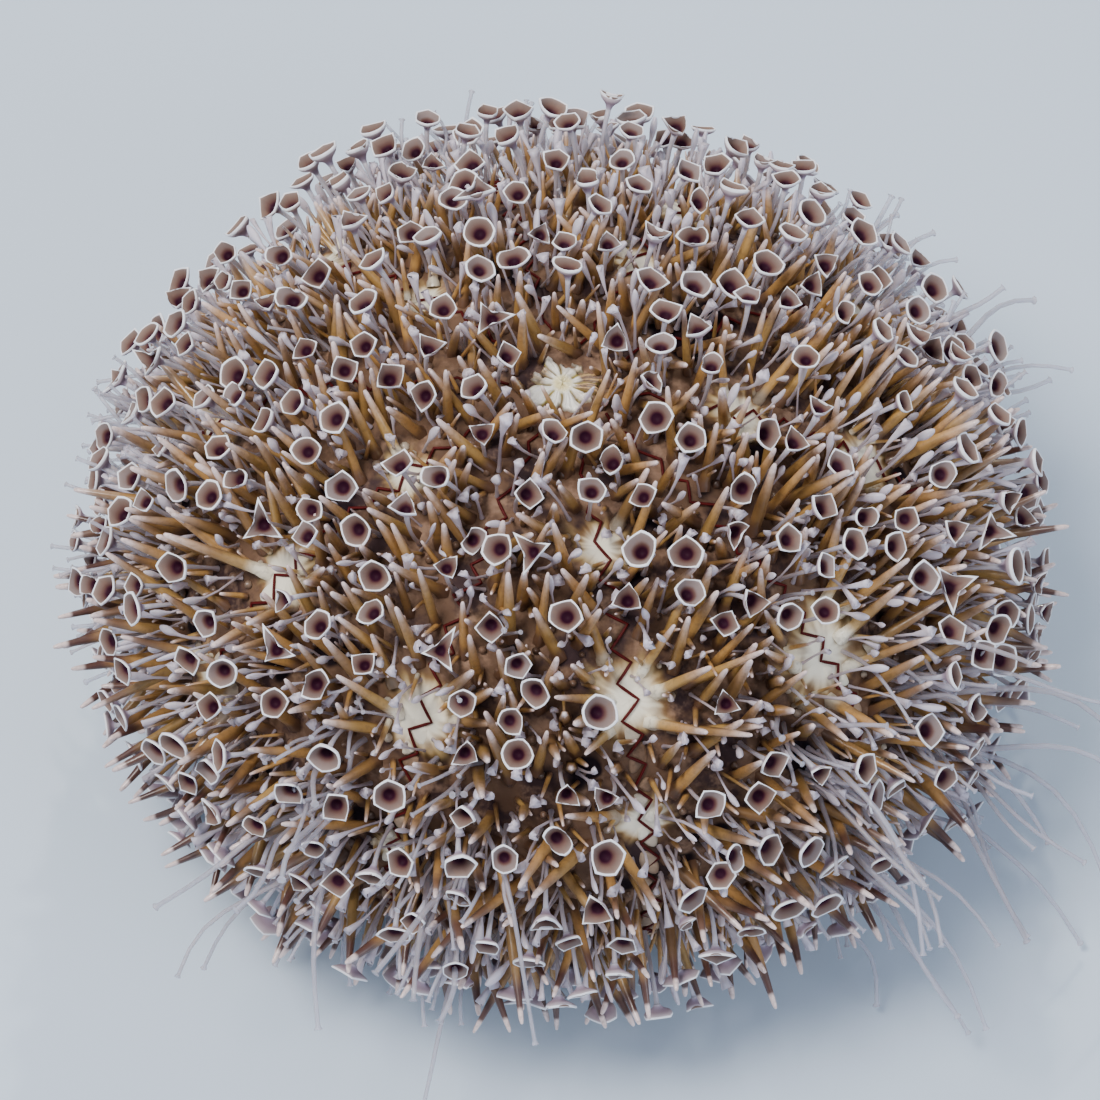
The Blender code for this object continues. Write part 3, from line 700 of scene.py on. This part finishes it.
CUP_SPACING = 0.0046
CUP_RADII = (0.00190, 0.00242)
STALK_LENGTHS = (0.0062, 0.0098)
STALK_RADIUS = 0.0003
LOWEST_CUP = math.radians(122)
HIGHEST_HEAD = 0.0768
CUP_SIDES = 22

# Shares of a cup's radius and depth: up the outside, over the rim and down the inside
CUP_PROFILE = np.array([
    (0.17, 0.00), (0.20, 0.13), (0.26, 0.28), (0.38, 0.42), (0.57, 0.54), (0.78, 0.67), (0.94, 0.82),
    (1.00, 0.93), (0.99, 1.02), (0.92, 1.05), (0.84, 0.99), (0.75, 0.88), (0.58, 0.73), (0.42, 0.60),
    (0.29, 0.44), (0.12, 0.32),
])


def saucer_share(polar):
    """0 on the crown, where the cups are deep, to 1 on the flanks, where they are flat and wide."""
    return np.clip((polar - 1.10) / 0.35, 0, 1)


def place_cups(thicket):
    """Finds a place, a direction and a size for each open pedicellaria.

    Cups on the far side turn to the viewer. Those low on the near side hang down, and the lowest are left
    out, so that the spines below them show.
    """
    azimuth, polar = scatter(16000, CUP_SPACING, top=0.11, bottom=LOWEST_CUP)
    places, normal, down, around = surface(azimuth, polar)
    bare = paleness(places)[0]
    hanging = np.clip((-normal[:, 1] - 0.3) / 0.4, 0, 1) * np.clip((polar - 0.95) / 0.3, 0, 1)
    share = 0.72 * np.clip(1.05 - normal @ TO_VIEWER, 0, 1) * (1 - hanging)
    share = share * np.clip((1.75 - polar) / 0.3, 0, 1)
    droop = hanging * np.clip((polar - 1.30) / 0.30, 0, 1)
    turned = share[:, None] * TO_VIEWER + down * (0.80 * droop)[:, None]
    apex = AXIS + [0, 0, AMBITUS_HEIGHT + CROWN_HEIGHT]
    thicket.add(apex + TO_VIEWER * np.array([[0.0030], [0.0075], [0.0120]]), 0.0036)
    kept = []
    for i in np.argsort(polar):
        size = rng.uniform(*CUP_RADII) * (1 + 0.10 * saucer_share(polar[i]))
        if rng.random() < bare[i] * 2.5 or droop[i] * polar[i] > 1.88:
            continue
        for _ in range(16):
            heading, tilt = rng.uniform(0, math.tau), 0.55 * math.sqrt(rng.random())
            way = normal[i] + tilt * (down[i] * math.cos(heading) + around[i] * math.sin(heading))
            way = unit(way + turned[i])
            length = rng.uniform(*STALK_LENGTHS)
            bend = places[i] + normal[i] * length * 0.55
            neck = bend + way * length * 0.45
            head = neck + way * size * 0.9
            if neck[2] < size * 1.3 or head[2] > HIGHEST_HEAD:
                continue
            spots = np.array([head, neck + way * size * 0.3])
            if thicket.clear(spots[:1], size * 0.90) and thicket.clear(spots[1:], size * 0.5):
                thicket.add(spots[:1], size * 0.90)
                thicket.add(np.linspace(places[i], neck, 6), STALK_RADIUS)
                kept.append((azimuth[i], polar[i], bend, neck, way, size, i))
                break
    parts = list(zip(*kept))
    azimuth, polar, bend, neck, way, size = (np.array(part) for part in parts[:6])
    return {
        "azimuth": azimuth, "polar": polar, "root": places[list(parts[6])], "bend": bend,
        "neck": neck, "way": way, "size": size, "guide": around[list(parts[6])],
    }


def cup_outline():
    """Angles and radii round the rim of one cup: an uneven polygon with slightly rounded corners."""
    corners = rng.choice([3, 4, 5, 6], p=[0.20, 0.22, 0.36, 0.22])
    star = corners == 3 and rng.random() < 0.10
    wedge = math.tau / corners
    uneven = rng.uniform(-1, 1, corners) * (0.08 if corners == 3 else 0.17)
    places = (np.arange(corners) + uneven) * wedge + rng.uniform(0, math.tau)
    reaches = rng.uniform(0.90, 1.08, corners) * (1.6 if star else 1.02 if corners == 3 else 1.0)
    angles, radii = [], []
    roundness = 0.0 if star else rng.uniform(0.06, 0.30)
    waist = 0.35 if star else rng.uniform(-0.10, 0.02)
    for i in range(corners):
        start, reach, after = places[i], reaches[i], reaches[(i + 1) % corners]
        turn = (places[(i + 1) % corners] - start) % math.tau
        steps = CUP_SIDES // corners + (i < CUP_SIDES % corners)
        angle = np.arange(steps) / steps * turn
        chord = reach * after * math.sin(turn) / (reach * np.sin(angle) + after * np.sin(turn - angle))
        chord = chord * (1 - waist * np.sin(angle / turn * math.pi))
        angles.append(start + angle)
        radii.append(chord)
    angles, radii = np.concatenate(angles), np.concatenate(radii)
    squeeze = rng.uniform(0.80, 1.0) - (rng.random() < 0.15) * 0.30
    axis = rng.uniform(0, math.tau)
    radii = radii * (1 - roundness) + roundness * radii.mean()
    return angles, radii * np.sqrt(np.cos(angles - axis) ** 2 + (squeeze * np.sin(angles - axis)) ** 2)


def make_cups(cups, look, stalk_look):
    """Open pedicellariae: rounded three- to six-cornered cups with a thick pale rim and a dark heart."""
    count = len(cups["size"])
    angles, outline = (np.array(part) for part in zip(*(cup_outline() for _ in range(count))))
    radius, level = CUP_PROFILE.T
    opening = np.clip(radius, 0, 1) ** 1.5
    shape = 1 + (outline[:, None] - 1) * opening[None, :, None]
    radii = cups["size"][:, None, None] * radius[None, :, None] * shape
    depth = cups["size"] * rng.uniform(0.78, 1.12, count) * (1 - 0.42 * saucer_share(cups["polar"]))
    lift = 0.30 * (outline - outline.mean(1, keepdims=True))
    height = depth[:, None, None] * (level[None, :, None] + lift[:, None] * opening[None, :, None])
    flat = sweep(cups["neck"][:, None], cups["way"][:, None], radii, cups["guide"], angles)
    rings = flat + height[..., None] * cups["way"][:, None, None]
    tips = cups["neck"] + cups["way"] * (depth * 0.28)[:, None]
    azimuth, polar, tone = cups["azimuth"], cups["polar"], rng.random(count)[:, None]
    roots, slot = unwrap(azimuth, polar), "pedicellaria_cup"
    values = {"along": np.linspace(0, 1, len(level) + 1), "tone": tone}
    quarters("open_pedicellariae", azimuth, polar, rings, tips, values, roots, look)

    share = np.linspace(0, 1, 8)
    thick = np.interp(share, [0, 0.12, 0.55, 1], [0.00040, 0.00025, 0.00026, 0.00036])
    root, bend, neck, way = (cups[key][:, None] for key in ("root", "bend", "neck", "way"))
    share, top = share[None, :, None], neck + way * 0.0001
    centres = root * (1 - share) ** 2 + 2 * bend * share * (1 - share) + top * share**2
    tangents = unit(np.gradient(centres, axis=1))
    rings = sweep(centres, tangents, thick[None, :, None], cups["guide"], even_turns(7))
    values = {"along": np.linspace(0, 1, 9), "tone": tone}
    tubes("pedicellaria_stalks", rings, centres[:, -1], values, roots, stalk_look)


def off_suture(apart, palest, crowding=-2.0):
    """A test that keeps places off the sutures and the palest skin, and with crowding in clusters."""
    def keep(azimuth, polar):
        places = surface(azimuth, polar)[0]
        narrowing = np.clip(meridian(polar)[0] / 0.020, 0.3, 1)
        aside = np.abs(off_midline(azimuth, polar)[0]) > apart * narrowing
        return aside & (paleness(places)[0] < palest) & (ragged(places, 170, 8.0) > crowding)

    return keep


# Profiles of tapered forms: share of the length and radius in metres
SPINE_PROFILE = [
    (-0.08, 0.00098), (0.015, 0.00092), (0.06, 0.00074), (0.13, 0.00070), (0.30, 0.00070), (0.50, 0.00063),
    (0.70, 0.00052), (0.84, 0.00041), (0.95, 0.00032), (0.99, 0.00020),
]


SPINE_LENGTH, LONGER_AT_AMBITUS = 0.0102, 0.0030
FLUTE_DEPTH = 0.08


def spine_lean(azimuth, polar, upper_flank):
    """The pull on each spine: off the suture and pale patches, and on the flanks up in the picture."""
    places, normal, _, around = surface(azimuth, polar)
    offset = off_midline(azimuth, polar)[0]
    aside = around * (np.sign(offset) * 0.50 * np.exp(-np.abs(offset) / 0.0035))[:, None]
    facing = np.clip(0.55 - normal[:, 1], 0, 1)
    aside = aside + PICTURE_UP * (0.42 * upper_flank * facing)[:, None]
    aside[:, 2] += 0.16 * upper_flank
    centre, _, _, size = pale_patches()
    across = places[:, None] - centre[None]
    away = np.linalg.norm(across, axis=2)
    push = 0.8 * np.exp(-((away / (size * 1.5)) ** 2))
    return aside + (unit(across) * push[..., None]).sum(1)


def place_spines(thicket):
    """Finds a place, a direction and a length for each primary spine."""
    keep = off_suture(0.0021, palest=0.60)
    crown = scatter(14000, 0.0028, top=0.078, bottom=0.95, keep=keep)
    flank = scatter(16000, 0.0036, top=0.97, bottom=1.95, keep=keep)
    below = scatter(16000, 0.0031, top=1.98, bottom=LOWEST_ROOT)
    azimuth, polar = (np.concatenate(parts) for parts in zip(crown, flank, below))
    behind = np.clip(surface(azimuth, polar)[1][:, 1] * 1.6, 0, 1)
    kept = rng.random(len(azimuth)) > 0.35 * behind
    azimuth, polar, behind = azimuth[kept], polar[kept], behind[kept]
    places, normal, down, around = surface(azimuth, polar)
    count = len(azimuth)
    upper_flank = np.clip((polar - 0.25) / 0.3, 0, 1) * np.clip((1.35 - polar) / 0.35, 0, 1)
    aside = spine_lean(azimuth, polar, upper_flank)
    low = np.clip((polar - math.radians(58)) / math.radians(24), 0, 1)
    length = (SPINE_LENGTH + LONGER_AT_AMBITUS * np.sin(polar) ** 2) * rng.uniform(0.80, 1.12, count)
    length *= 1 - 0.14 * upper_flank * low
    length *= np.where(polar > math.radians(130), 0.75, 1.0) * (1 - 0.50 * behind)

    # Each takes the first way that keeps clear of what stands there
    ways, reach = np.empty_like(places), np.empty(count)
    for i in range(count):
        one, tilt = slice(i, i + 1), 0.56 + 0.40 * behind[i] + 0.20 * low[i]
        for attempt in range(9):
            way = unit(lean(normal[one], down[one], around[one], tilt)[0] + aside[i])
            long = above_floor(places[one], way[None], length[one] * (1 - 0.03 * attempt))[0]
            ways[i], reach[i] = way, long
            if thicket.clear(places[i] + way * np.linspace(0.25, 1, 7)[:, None] * long, 0.00045):
                break
        thicket.add(places[i] + ways[i] * np.linspace(0.3, 0.95, 4)[:, None] * reach[i], 0.0005)
    return azimuth, polar, ways, reach, low


def make_spines(spines, look):
    """Primary spines: a flared collar on the test, a faintly fluted taper and a blunt pale tip."""
    azimuth, polar, ways, reach, low = spines
    places, _, _, around = surface(azimuth, polar)
    count, sides = len(azimuth), 10
    station, thick = np.array(SPINE_PROFILE).T
    centres = places[:, None] + ways[:, None] * station[None, :, None] * reach[:, None, None]
    stout = rng.uniform(0.82, 1.12, count) * (reach / 0.012) ** 0.3
    flute = 1 + FLUTE_DEPTH * np.where(np.arange(sides) % 2, 1, -1)
    radii = thick[None, :, None] * stout[:, None, None] * flute[None, None]
    rings = sweep(centres, ways[:, None], radii, around, even_turns(sides))
    rings[..., 2] = np.maximum(rings[..., 2], FLOOR_SKIM)
    tips = places + ways * reach[:, None]
    values = {"along": np.append(np.clip(station, 0, 1), 1.0), "tone": rng.random(count)[:, None]}
    values = {**values, "pale": paleness(places)[0][:, None], "low": low[:, None]}
    roots = unwrap(azimuth, polar)
    quarters("spines", azimuth, polar, rings, tips, values, roots, look)


def small_forms(
    name, azimuth, polar, lengths, profile, sides, tilt, look, slot,
    thicket=None, ball=0.0, bow=0.0, lobes=0.0,
):
    """Many small stalked or pointed forms: profile gives share of the length and radius in metres.

    In a thicket, each keeps a ball at its head clear. They bow to one side, and their heads have lobes.
    """
    places, normal, down, around = surface(azimuth, polar)
    count = len(azimuth)
    ways = lean(normal, down, around, tilt)
    lengths = above_floor(places, ways, lengths)
    if thicket is not None:
        for i in range(count):
            for _ in range(6):
                head = places[i] + ways[i] * lengths[i]
                if thicket.clear(head[None], ball):
                    break
                one = slice(i, i + 1)
                ways[i] = lean(normal[one], down[one], around[one], tilt)[0]
                lengths[i] = above_floor(places[one], ways[one], lengths[one] * 0.93)[0]
            thicket.add(head[None], ball)
    share, thick = np.array(profile).T
    sideways = (around * rng.normal(0, 1, (count, 1)) + down * rng.normal(0, 1, (count, 1))) * bow
    arch = np.sin(np.clip(share, 0, 1) * math.pi)
    centres = places[:, None] + ways[:, None] * (share[None] * lengths[:, None])[..., None]
    centres = centres + sideways[:, None] * arch[None, :, None] * lengths[:, None, None]
    tangents = unit(np.gradient(centres, axis=1))
    size = rng.uniform(0.70, 1.35, count)
    radii = (thick[None] * size[:, None])[..., None]
    swell = np.clip((share - 0.62) / 0.38, 0, 1)[None, :, None] ** 0.5
    turn = even_turns(sides)
    flatness = rng.uniform(0, 2.4 * lobes, (count, 1, 1))
    flat = 1 - flatness * swell * np.sin(turn + rng.uniform(0, math.tau, (count, 1, 1))) ** 2
    radii = radii * flat * (1 + lobes * swell * np.cos(3 * turn))
    rings = sweep(centres, tangents, radii, around, turn)
    rings[..., 2] = np.maximum(rings[..., 2], FLOOR_SKIM)
    tips = centres[:, -1] + tangents[:, -1] * (radii[:, -1, :1] * 0.4)
    tips[:, 2] = np.maximum(tips[:, 2], FLOOR_SKIM)
    values = {"along": np.append(np.clip(share, 0, 1), 1.0), "tone": rng.random(count)[:, None]}
    values = {**values, "pale": paleness(places)[0][:, None], "low": np.zeros((count, 1))}
    return tubes(name, rings, tips, values, unwrap(azimuth, polar), look)


BUD_PROFILE = [
    (-0.05, 0.00026), (0.04, 0.00019), (0.35, 0.00015), (0.58, 0.00016), (0.67, 0.00025), (0.75, 0.00040),
    (0.83, 0.00048), (0.91, 0.00043), (0.97, 0.00031), (1.0, 0.00020),
]
JAW_PROFILE = [
    (-0.05, 0.00026), (0.04, 0.00019), (0.35, 0.00015), (0.62, 0.00017), (0.70, 0.00028), (0.79, 0.00036),
    (0.90, 0.00048), (1.0, 0.00062), (0.985, 0.00046), (0.90, 0.00020),
]
SMALL_SPINE_PROFILE = [(-0.05, 0.00036), (0.10, 0.00031), (0.50, 0.00026), (0.85, 0.00020), (0.97, 0.00013)]
TUBERCLE_PROFILE = [(-0.5, 0.00050), (0.0, 0.00046), (0.45, 0.00032), (0.85, 0.00014)]
SMALL_TILT = 0.6


def make_buds(name, profile, apart, lobes, thicket, look):
    """Small pedicellariae, closed to a bud or gaping, on thin stalks and in clusters."""
    keep = off_suture(0.0006, palest=0.80, crowding=-0.24)
    azimuth, polar = scatter(22000, apart, top=0.07, bottom=math.radians(113), keep=keep)
    lengths = rng.uniform(0.0030, 0.0100, len(azimuth))
    crowd = {"thicket": thicket, "ball": 0.0005, "bow": 0.06, "lobes": lobes}
    small_forms(name, azimuth, polar, lengths, profile, 9, SMALL_TILT, look, "pedicellaria_cup", **crowd)


def make_small_spines(look):
    keep = off_suture(0.0012, palest=0.5)
    azimuth, polar = scatter(16000, 0.0026, top=0.06, bottom=LOWEST_ROOT, keep=keep)
    lengths = rng.uniform(0.0028, 0.0065, len(azimuth))
    small_forms(
        "small_spines", azimuth, polar, lengths, SMALL_SPINE_PROFILE, 7, SMALL_TILT, look, "spine_amber"
    )


def make_tubercles(look):
    keep = off_suture(0.0022, palest=0.25)
    azimuth, polar = scatter(12000, 0.0029, top=0.10, bottom=math.radians(125), keep=keep)
    lengths = np.full(len(azimuth), 0.0004)
    small_forms("tubercles", azimuth, polar, lengths, TUBERCLE_PROFILE, 8, 0.1, look, "test_skin")


FEET_IN_BAND = 72
BAND_OFFSET, BAND_SPREAD = math.radians(9.5), math.radians(2.6)
FOOT_LENGTHS = (0.0070, 0.0145)


def make_tube_feet(look):
    """Tube feet in two bands on each narrow sector: threads that sink, with a flat disc at the end."""
    azimuths, polars = [], []
    for i in range(1, SECTORS, 2):
        middle = FIRST_MIDLINE + i * SECTOR_STEP
        for side in (-1, 1):
            level = np.interp(rng.uniform(0.06, 0.97, FEET_IN_BAND) ** 0.8, AREA, POLARS)
            offset = BAND_OFFSET + rng.normal(0, BAND_SPREAD, FEET_IN_BAND)
            azimuths.append(middle + side * offset)
            polars.append(level)
    azimuth, polar = np.concatenate(azimuths), np.concatenate(polars)
    places, normal, down, around = surface(azimuth, polar)
    count, stations = len(azimuth), 13
    ways = lean(normal, down, around, 0.55)
    crown = polar < math.radians(55)
    reach = rng.uniform(*FOOT_LENGTHS, count) * np.where(crown, 0.75, 1.0)
    facing = np.clip(0.5 + 0.75 * np.cos(azimuth - FOOT_SIDE), 0, 1)
    long = rng.random(count) < np.where(polar > math.radians(62), 0.34, 0.0) * facing
    longer = 0.013 + facing * rng.uniform(0.006, 0.017, count)
    reach = np.where(long & (polar < math.radians(118)), longer, reach)

    # The last five rings are the disc at the end
    from_end = np.array([0.00048, 0.00030, 0.00012, 0.00004, 0.0])
    disc = [0.00028, 0.00032, 0.00044, 0.00050, 0.00045]
    thick = np.concatenate([np.linspace(0.00040, 0.00028, stations - 5), disc])
    share = np.linspace(0, 1, stations - 4)[:-1] * (1 - 0.0006 / reach[:, None])
    share = np.hstack([share, 1 - from_end / reach[:, None]])
    droop = (rng.uniform(0.10, 0.45, count) * reach / 0.02)[:, None]
    sway = rng.normal(0, 0.06, (count, 1)) * np.sin(share * math.pi)
    sway = sway + rng.normal(0, 0.03, (count, 1)) * np.sin(share * math.tau)
    out = ways[:, None] * share[..., None] * reach[:, None, None]
    fall = (droop * share**2 * reach[:, None])[..., None] * np.array([0, 0, -1.0])
    swing = around[:, None] * (sway * reach[:, None])[..., None]
    centres = places[:, None] + out + fall + swing

    # Feet that would pass the floor or the solids' box are flattened, shortened or left out
    for _ in range(30):
        under = centres[:, :, 2].min(1) < 0.0009
        if not under.any():
            break
        centres[under] = places[under, None] + (centres[under] - places[under, None]) * [1, 1, 0.85]
    low, high = np.array(CAD_LOW), np.array(CAD_HIGH)
    outside = ((centres < low + 0.0008) | (centres > high - 0.0008)).any((1, 2))
    shorter = places[:, None] + (centres - places[:, None]) * 0.7
    centres = np.where(outside[:, None, None], shorter, centres)
    kept = centres[:, :, 2].min(1) > 0.0006
    azimuth, polar, centres, around = azimuth[kept], polar[kept], centres[kept], around[kept]
    stout = (np.where(long, 1.05, 0.90) * np.where(crown, 0.8, 1.0))[kept]
    stout = stout * rng.uniform(0.85, 1.15, len(azimuth))
    radii = (thick[None] * stout[:, None])[..., None]
    rings = sweep(centres, unit(np.gradient(centres, axis=1)), radii, around, even_turns(7))
    values = {"along": np.linspace(0, 1, stations + 1), "tone": rng.random(len(azimuth))[:, None]}
    tubes("tube_feet", rings, centres[:, -1], values, unwrap(azimuth, polar), look)


# Apex and mouth

PLATE_REACHES = 0.001 * np.array([4.6, 4.0, 5.0, 5.4, 3.6, 4.6, 4.0, 4.2, 5.4, 4.4])
PLATE_TONES = np.array([0.0, 0.35, 1.0, 1.0, 0.45, 0.25, 0.6, 0.5, 0.0, 0.0])


def apical_shape(share, azimuth):
    """Points and named values of the apical disc, at shares of its radius."""
    crown = AMBITUS_HEIGHT + CROWN_HEIGHT
    radius = share * APICAL_RADIUS
    bend = 0.10 * np.sin(radius * 1500 + azimuth * 3) + 0.28 * np.sin(azimuth * 2 + 1)
    bend = bend + 0.2 * np.sin(azimuth * 3)
    turn = (azimuth - FIRST_MIDLINE) / SECTOR_STEP + bend
    number = np.round(turn).astype(int)
    middle = np.abs(turn - number)
    number = number % SECTORS
    flat = np.column_stack([radius * np.cos(azimuth), radius * np.sin(azimuth), radius * 0])
    reach = PLATE_REACHES[number] * (1.05 - 0.12 * np.clip(middle / 0.5, 0, 1) ** 2)
    reach = reach * (1 + 0.28 * ragged(flat, 700, 6.0) + 0.12 * ragged(flat, 1900, 7.0))
    outside = np.clip((reach - radius) / 0.0014, 0, 1)
    flank = np.clip(((0.5 - middle) * radius - 0.00006) / 0.00060, 0, 1)
    hub = np.clip((0.0015 - radius) / 0.0006, 0, 1)
    plate = np.clip(flank * outside + hub, 0, 1)
    field = np.clip((reach - 0.0001 - radius) / 0.0008, 0, 1)
    ridge = 0.00010 * np.cos(middle * 26) * plate
    dome = crown - (crown - DISC_EDGE) * share**2
    height = dome + 0.0004 * np.sqrt(plate) + ridge - 0.0001 - 0.0011 * (1 - field)
    worn = np.clip((radius - 0.0012) / 0.0014 + 0.5 * ragged(flat, 900, 9.0), 0, 1)
    stripe = 0.5 + 0.5 * np.sin(middle * 22 + 1.5 * ragged(flat, 600, 5.0) + number)
    groove, tone = np.clip(1 - plate * 1.6, 0, 1), PLATE_TONES[number] * worn
    values = {"groove": groove, "pale": field, "tone": tone, "hub": hub, "stripe": stripe}
    return flat + AXIS + height[:, None] * [0, 0, 1], values


def make_apical_disc(look):
    """Ten uneven petal-like plates with olive joints round a pale middle, set in the dark skin."""
    rows, columns = 80, 200
    share, azimuth = round_grid(np.linspace(0, 1, rows + 1)[1:], columns)
    points, values = apical_shape(np.append(share, 1e-4), np.append(azimuth, 0.0))
    faces = ring_faces(rows, columns).tolist()
    faces += [(len(points) - 1, c, (c + 1) % columns) for c in range(columns)]
    piece = mesh_piece("apical_plates", points, faces, values, None, look)
    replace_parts(piece, "apical_disc")


def make_peristome(look):
    """The wrinkled membrane round the mouth, with a lip."""
    rows, columns = 40, 160
    share, azimuth = round_grid(np.linspace(0, 1, rows), columns)
    radius = MOUTH_RADIUS * 0.9 + (PERISTOME_RADIUS - MOUTH_RADIUS * 0.9) * share
    fold = np.sin(azimuth * 40 + 3 * np.sin(share * 9)) * 0.00012 * np.sin(share * math.pi)
    rings = np.sin(share * 34 + 1.2 * np.sin(azimuth * 5)) * 0.00012 * (1 - share)
    lip = -0.0009 * np.exp(-(((share - 0.10) / 0.08) ** 2))
    height = MOUTH_RIM + 0.0026 - 0.0006 * share + lip + fold + rings + 0.0030 * np.exp(-share / 0.03)
    points = np.column_stack([radius * np.cos(azimuth), radius * np.sin(azimuth), height]) + AXIS
    faces = ring_faces(rows, columns)[:, [0, 3, 2, 1]].tolist()
    piece = mesh_piece("peristome_skin", points, faces, {}, None, look)
    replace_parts(piece, "peristome")


def make_buccal_feet(look):
    """Five pairs of short tube feet round the mouth."""
    pair = np.array([-0.16, 0.16])
    fifth = math.tau * np.arange(TOOTH_COUNT)[:, None] / TOOTH_COUNT
    angle = (FIRST_MIDLINE + SECTOR_STEP + fifth + pair[None]).ravel()
    across = np.stack([np.cos(angle), np.sin(angle), np.zeros_like(angle)], 1)
    start = across * 0.0093 + AXIS + [0, 0, MOUTH_RIM + 0.0030]
    way = unit(across * 0.3 - [0, 0, 1])
    share = np.array([0.0, 0.2, 0.5, 0.8, 0.9, 1.0])
    thick = np.array([0.0006, 0.0005, 0.00045, 0.00045, 0.0008, 0.00085])
    centres = start[:, None] + way[:, None] * share[None, :, None] * 0.0036
    rings = sweep(centres, way[:, None], thick[None, :, None], unit(np.cross(way, across)), even_turns(12))
    values = {"along": np.append(share, 1.0), "tone": np.full((len(angle), 1), 0.6)}
    tips = centres[:, -1] + way * 0.0001
    roots = unwrap(angle, np.full(len(angle), LAST_POLAR))
    tubes("buccal_feet", rings, tips, values, roots, look)


def make_teeth(look):
    """Five curved, keeled teeth whose tips meet in the middle of the mouth."""
    share = np.linspace(0, 1, 14)
    for i in range(TOOTH_COUNT):
        angle = FIRST_MIDLINE + math.tau * i / TOOTH_COUNT
        across = np.array([math.cos(angle), math.sin(angle), 0])
        out = 0.0022 - 0.0017 * share**2.2
        level = np.array([0, 0, 1]) * (MOUTH_RIM + 0.0056 - 0.0071 * share)[:, None]
        centres = (across[None] * out[:, None] + AXIS + level)[None]
        thick = np.interp(share, [0, 0.6, 0.9, 1.0], [0.00085, 0.0008, 0.0005, 0.00012])
        turn = even_turns(14)
        keel = 0.62 + 0.38 * np.abs(np.cos(turn)) ** 0.8 + 0.12 * (np.cos(turn) > 0.9)
        radii = (thick[:, None] * keel[None])[None]
        rings = sweep(centres, unit(np.gradient(centres, axis=1)), radii, np.array([across]), turn)
        values = {"along": np.linspace(0, 1, 15)}
        roots = np.array([[0.5, 0.5]])
        piece = tubes(f"tooth_blade_{i + 1}", rings, centres[:, -1], values, roots, look)
        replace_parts(piece, f"tooth_{i + 1}")


# Stage

def area_light(name, place, target, size, watts, colour):
    data = bpy.data.lights.new(name, "AREA")
    data.shape, data.size, data.energy, data.color = "DISK", size, watts, colour
    lamp = add_object(name, data)
    lamp.location = place
    lamp.rotation_euler = (Vector(target) - Vector(place)).to_track_quat("-Z", "Y").to_euler()


def make_stage():
    """A pale floor, soft lamps and a pale blue world light."""
    data, reach = bpy.data.meshes.new("floor"), 3.0
    corners = [(x * reach, y * reach, 0) for x, y in ((-1, -1), (1, -1), (1, 1), (-1, 1))]
    data.from_pydata(corners, [], [(0, 1, 2, 3)])
    look = Look("pale_floor")
    data.materials.append(look.finish(Base_Color=(0.60, 0.70, 0.82), Roughness=0.7))
    add_object("floor", data)
    middle = (0, 0, 0.03)
    area_light("key", (-0.30, -0.10, 0.80), middle, 0.35, 8.0, (1.0, 0.97, 0.93))
    area_light("fill", (0.6, -0.5, 0.45), middle, 0.5, 3.2, (0.80, 0.88, 1.0))
    area_light("back", (0.05, 0.80, 0.56), middle, 0.035, 3.0, (1.0, 0.97, 0.85))
    world = bpy.data.worlds.new("studio")
    world.use_nodes = True
    sky = world.node_tree.nodes["Background"].inputs
    sky["Color"].default_value, sky["Strength"].default_value = (0.72, 0.82, 1.0, 1), 0.54
    bpy.context.scene.world = world


def make_camera():
    distance, metres_per_pixel, picture_width, sensor_width = 0.70, 0.001 / 7.7, 1100, 36
    back, up = Vector(TO_VIEWER), Vector(PICTURE_UP)
    ambitus = Vector((*AXIS[:2], AMBITUS_HEIGHT))
    pixels_left, pixels_up = 12, 14
    target = ambitus - Vector((pixels_left, 0, 0)) * metres_per_pixel + up * pixels_up * metres_per_pixel
    data = bpy.data.cameras.new("camera")
    data.sensor_width = sensor_width
    data.lens = sensor_width * distance / (picture_width * metres_per_pixel)
    data.clip_start, data.clip_end = 0.01, 20
    camera = add_object("camera", data)
    camera.location = target + back * distance
    camera.rotation_euler = (-back).to_track_quat("-Z", "Y").to_euler()
    bpy.context.scene.camera = camera


def main():
    skin, spines, cups = skin_look(), spine_look(), cup_look()
    stalks = pale_flesh_look("pedicellaria_stalks", (0.36, 0.29, 0.33), (0.60, 0.55, 0.62), 0.4, 0.85)
    buds = pale_flesh_look("pedicellaria_buds", (0.38, 0.30, 0.33), (0.72, 0.63, 0.71), 0.42)
    feet = pale_flesh_look("tube_feet", (0.42, 0.37, 0.42), (0.64, 0.61, 0.70), 0.35, 0.50)
    make_skin(skin)
    sutures, thicket = place_sutures(), Thicket()
    make_sutures(sutures, suture_look())
    make_knuckles(sutures, knuckle_look())
    make_cups(place_cups(thicket), cups, stalks)
    make_spines(place_spines(thicket), spines)
    make_buds("closed_pedicellariae", BUD_PROFILE, 0.0033, 0.22, thicket, buds)
    make_buds("gaping_pedicellariae", JAW_PROFILE, 0.0035, 0.27, thicket, buds)
    make_small_spines(spines)
    make_tubercles(tubercle_look())
    make_tube_feet(feet)
    make_apical_disc(plate_look())
    make_peristome(membrane_look())
    make_buccal_feet(feet)
    make_teeth(tooth_look())
    make_stage()
    make_camera()


main()
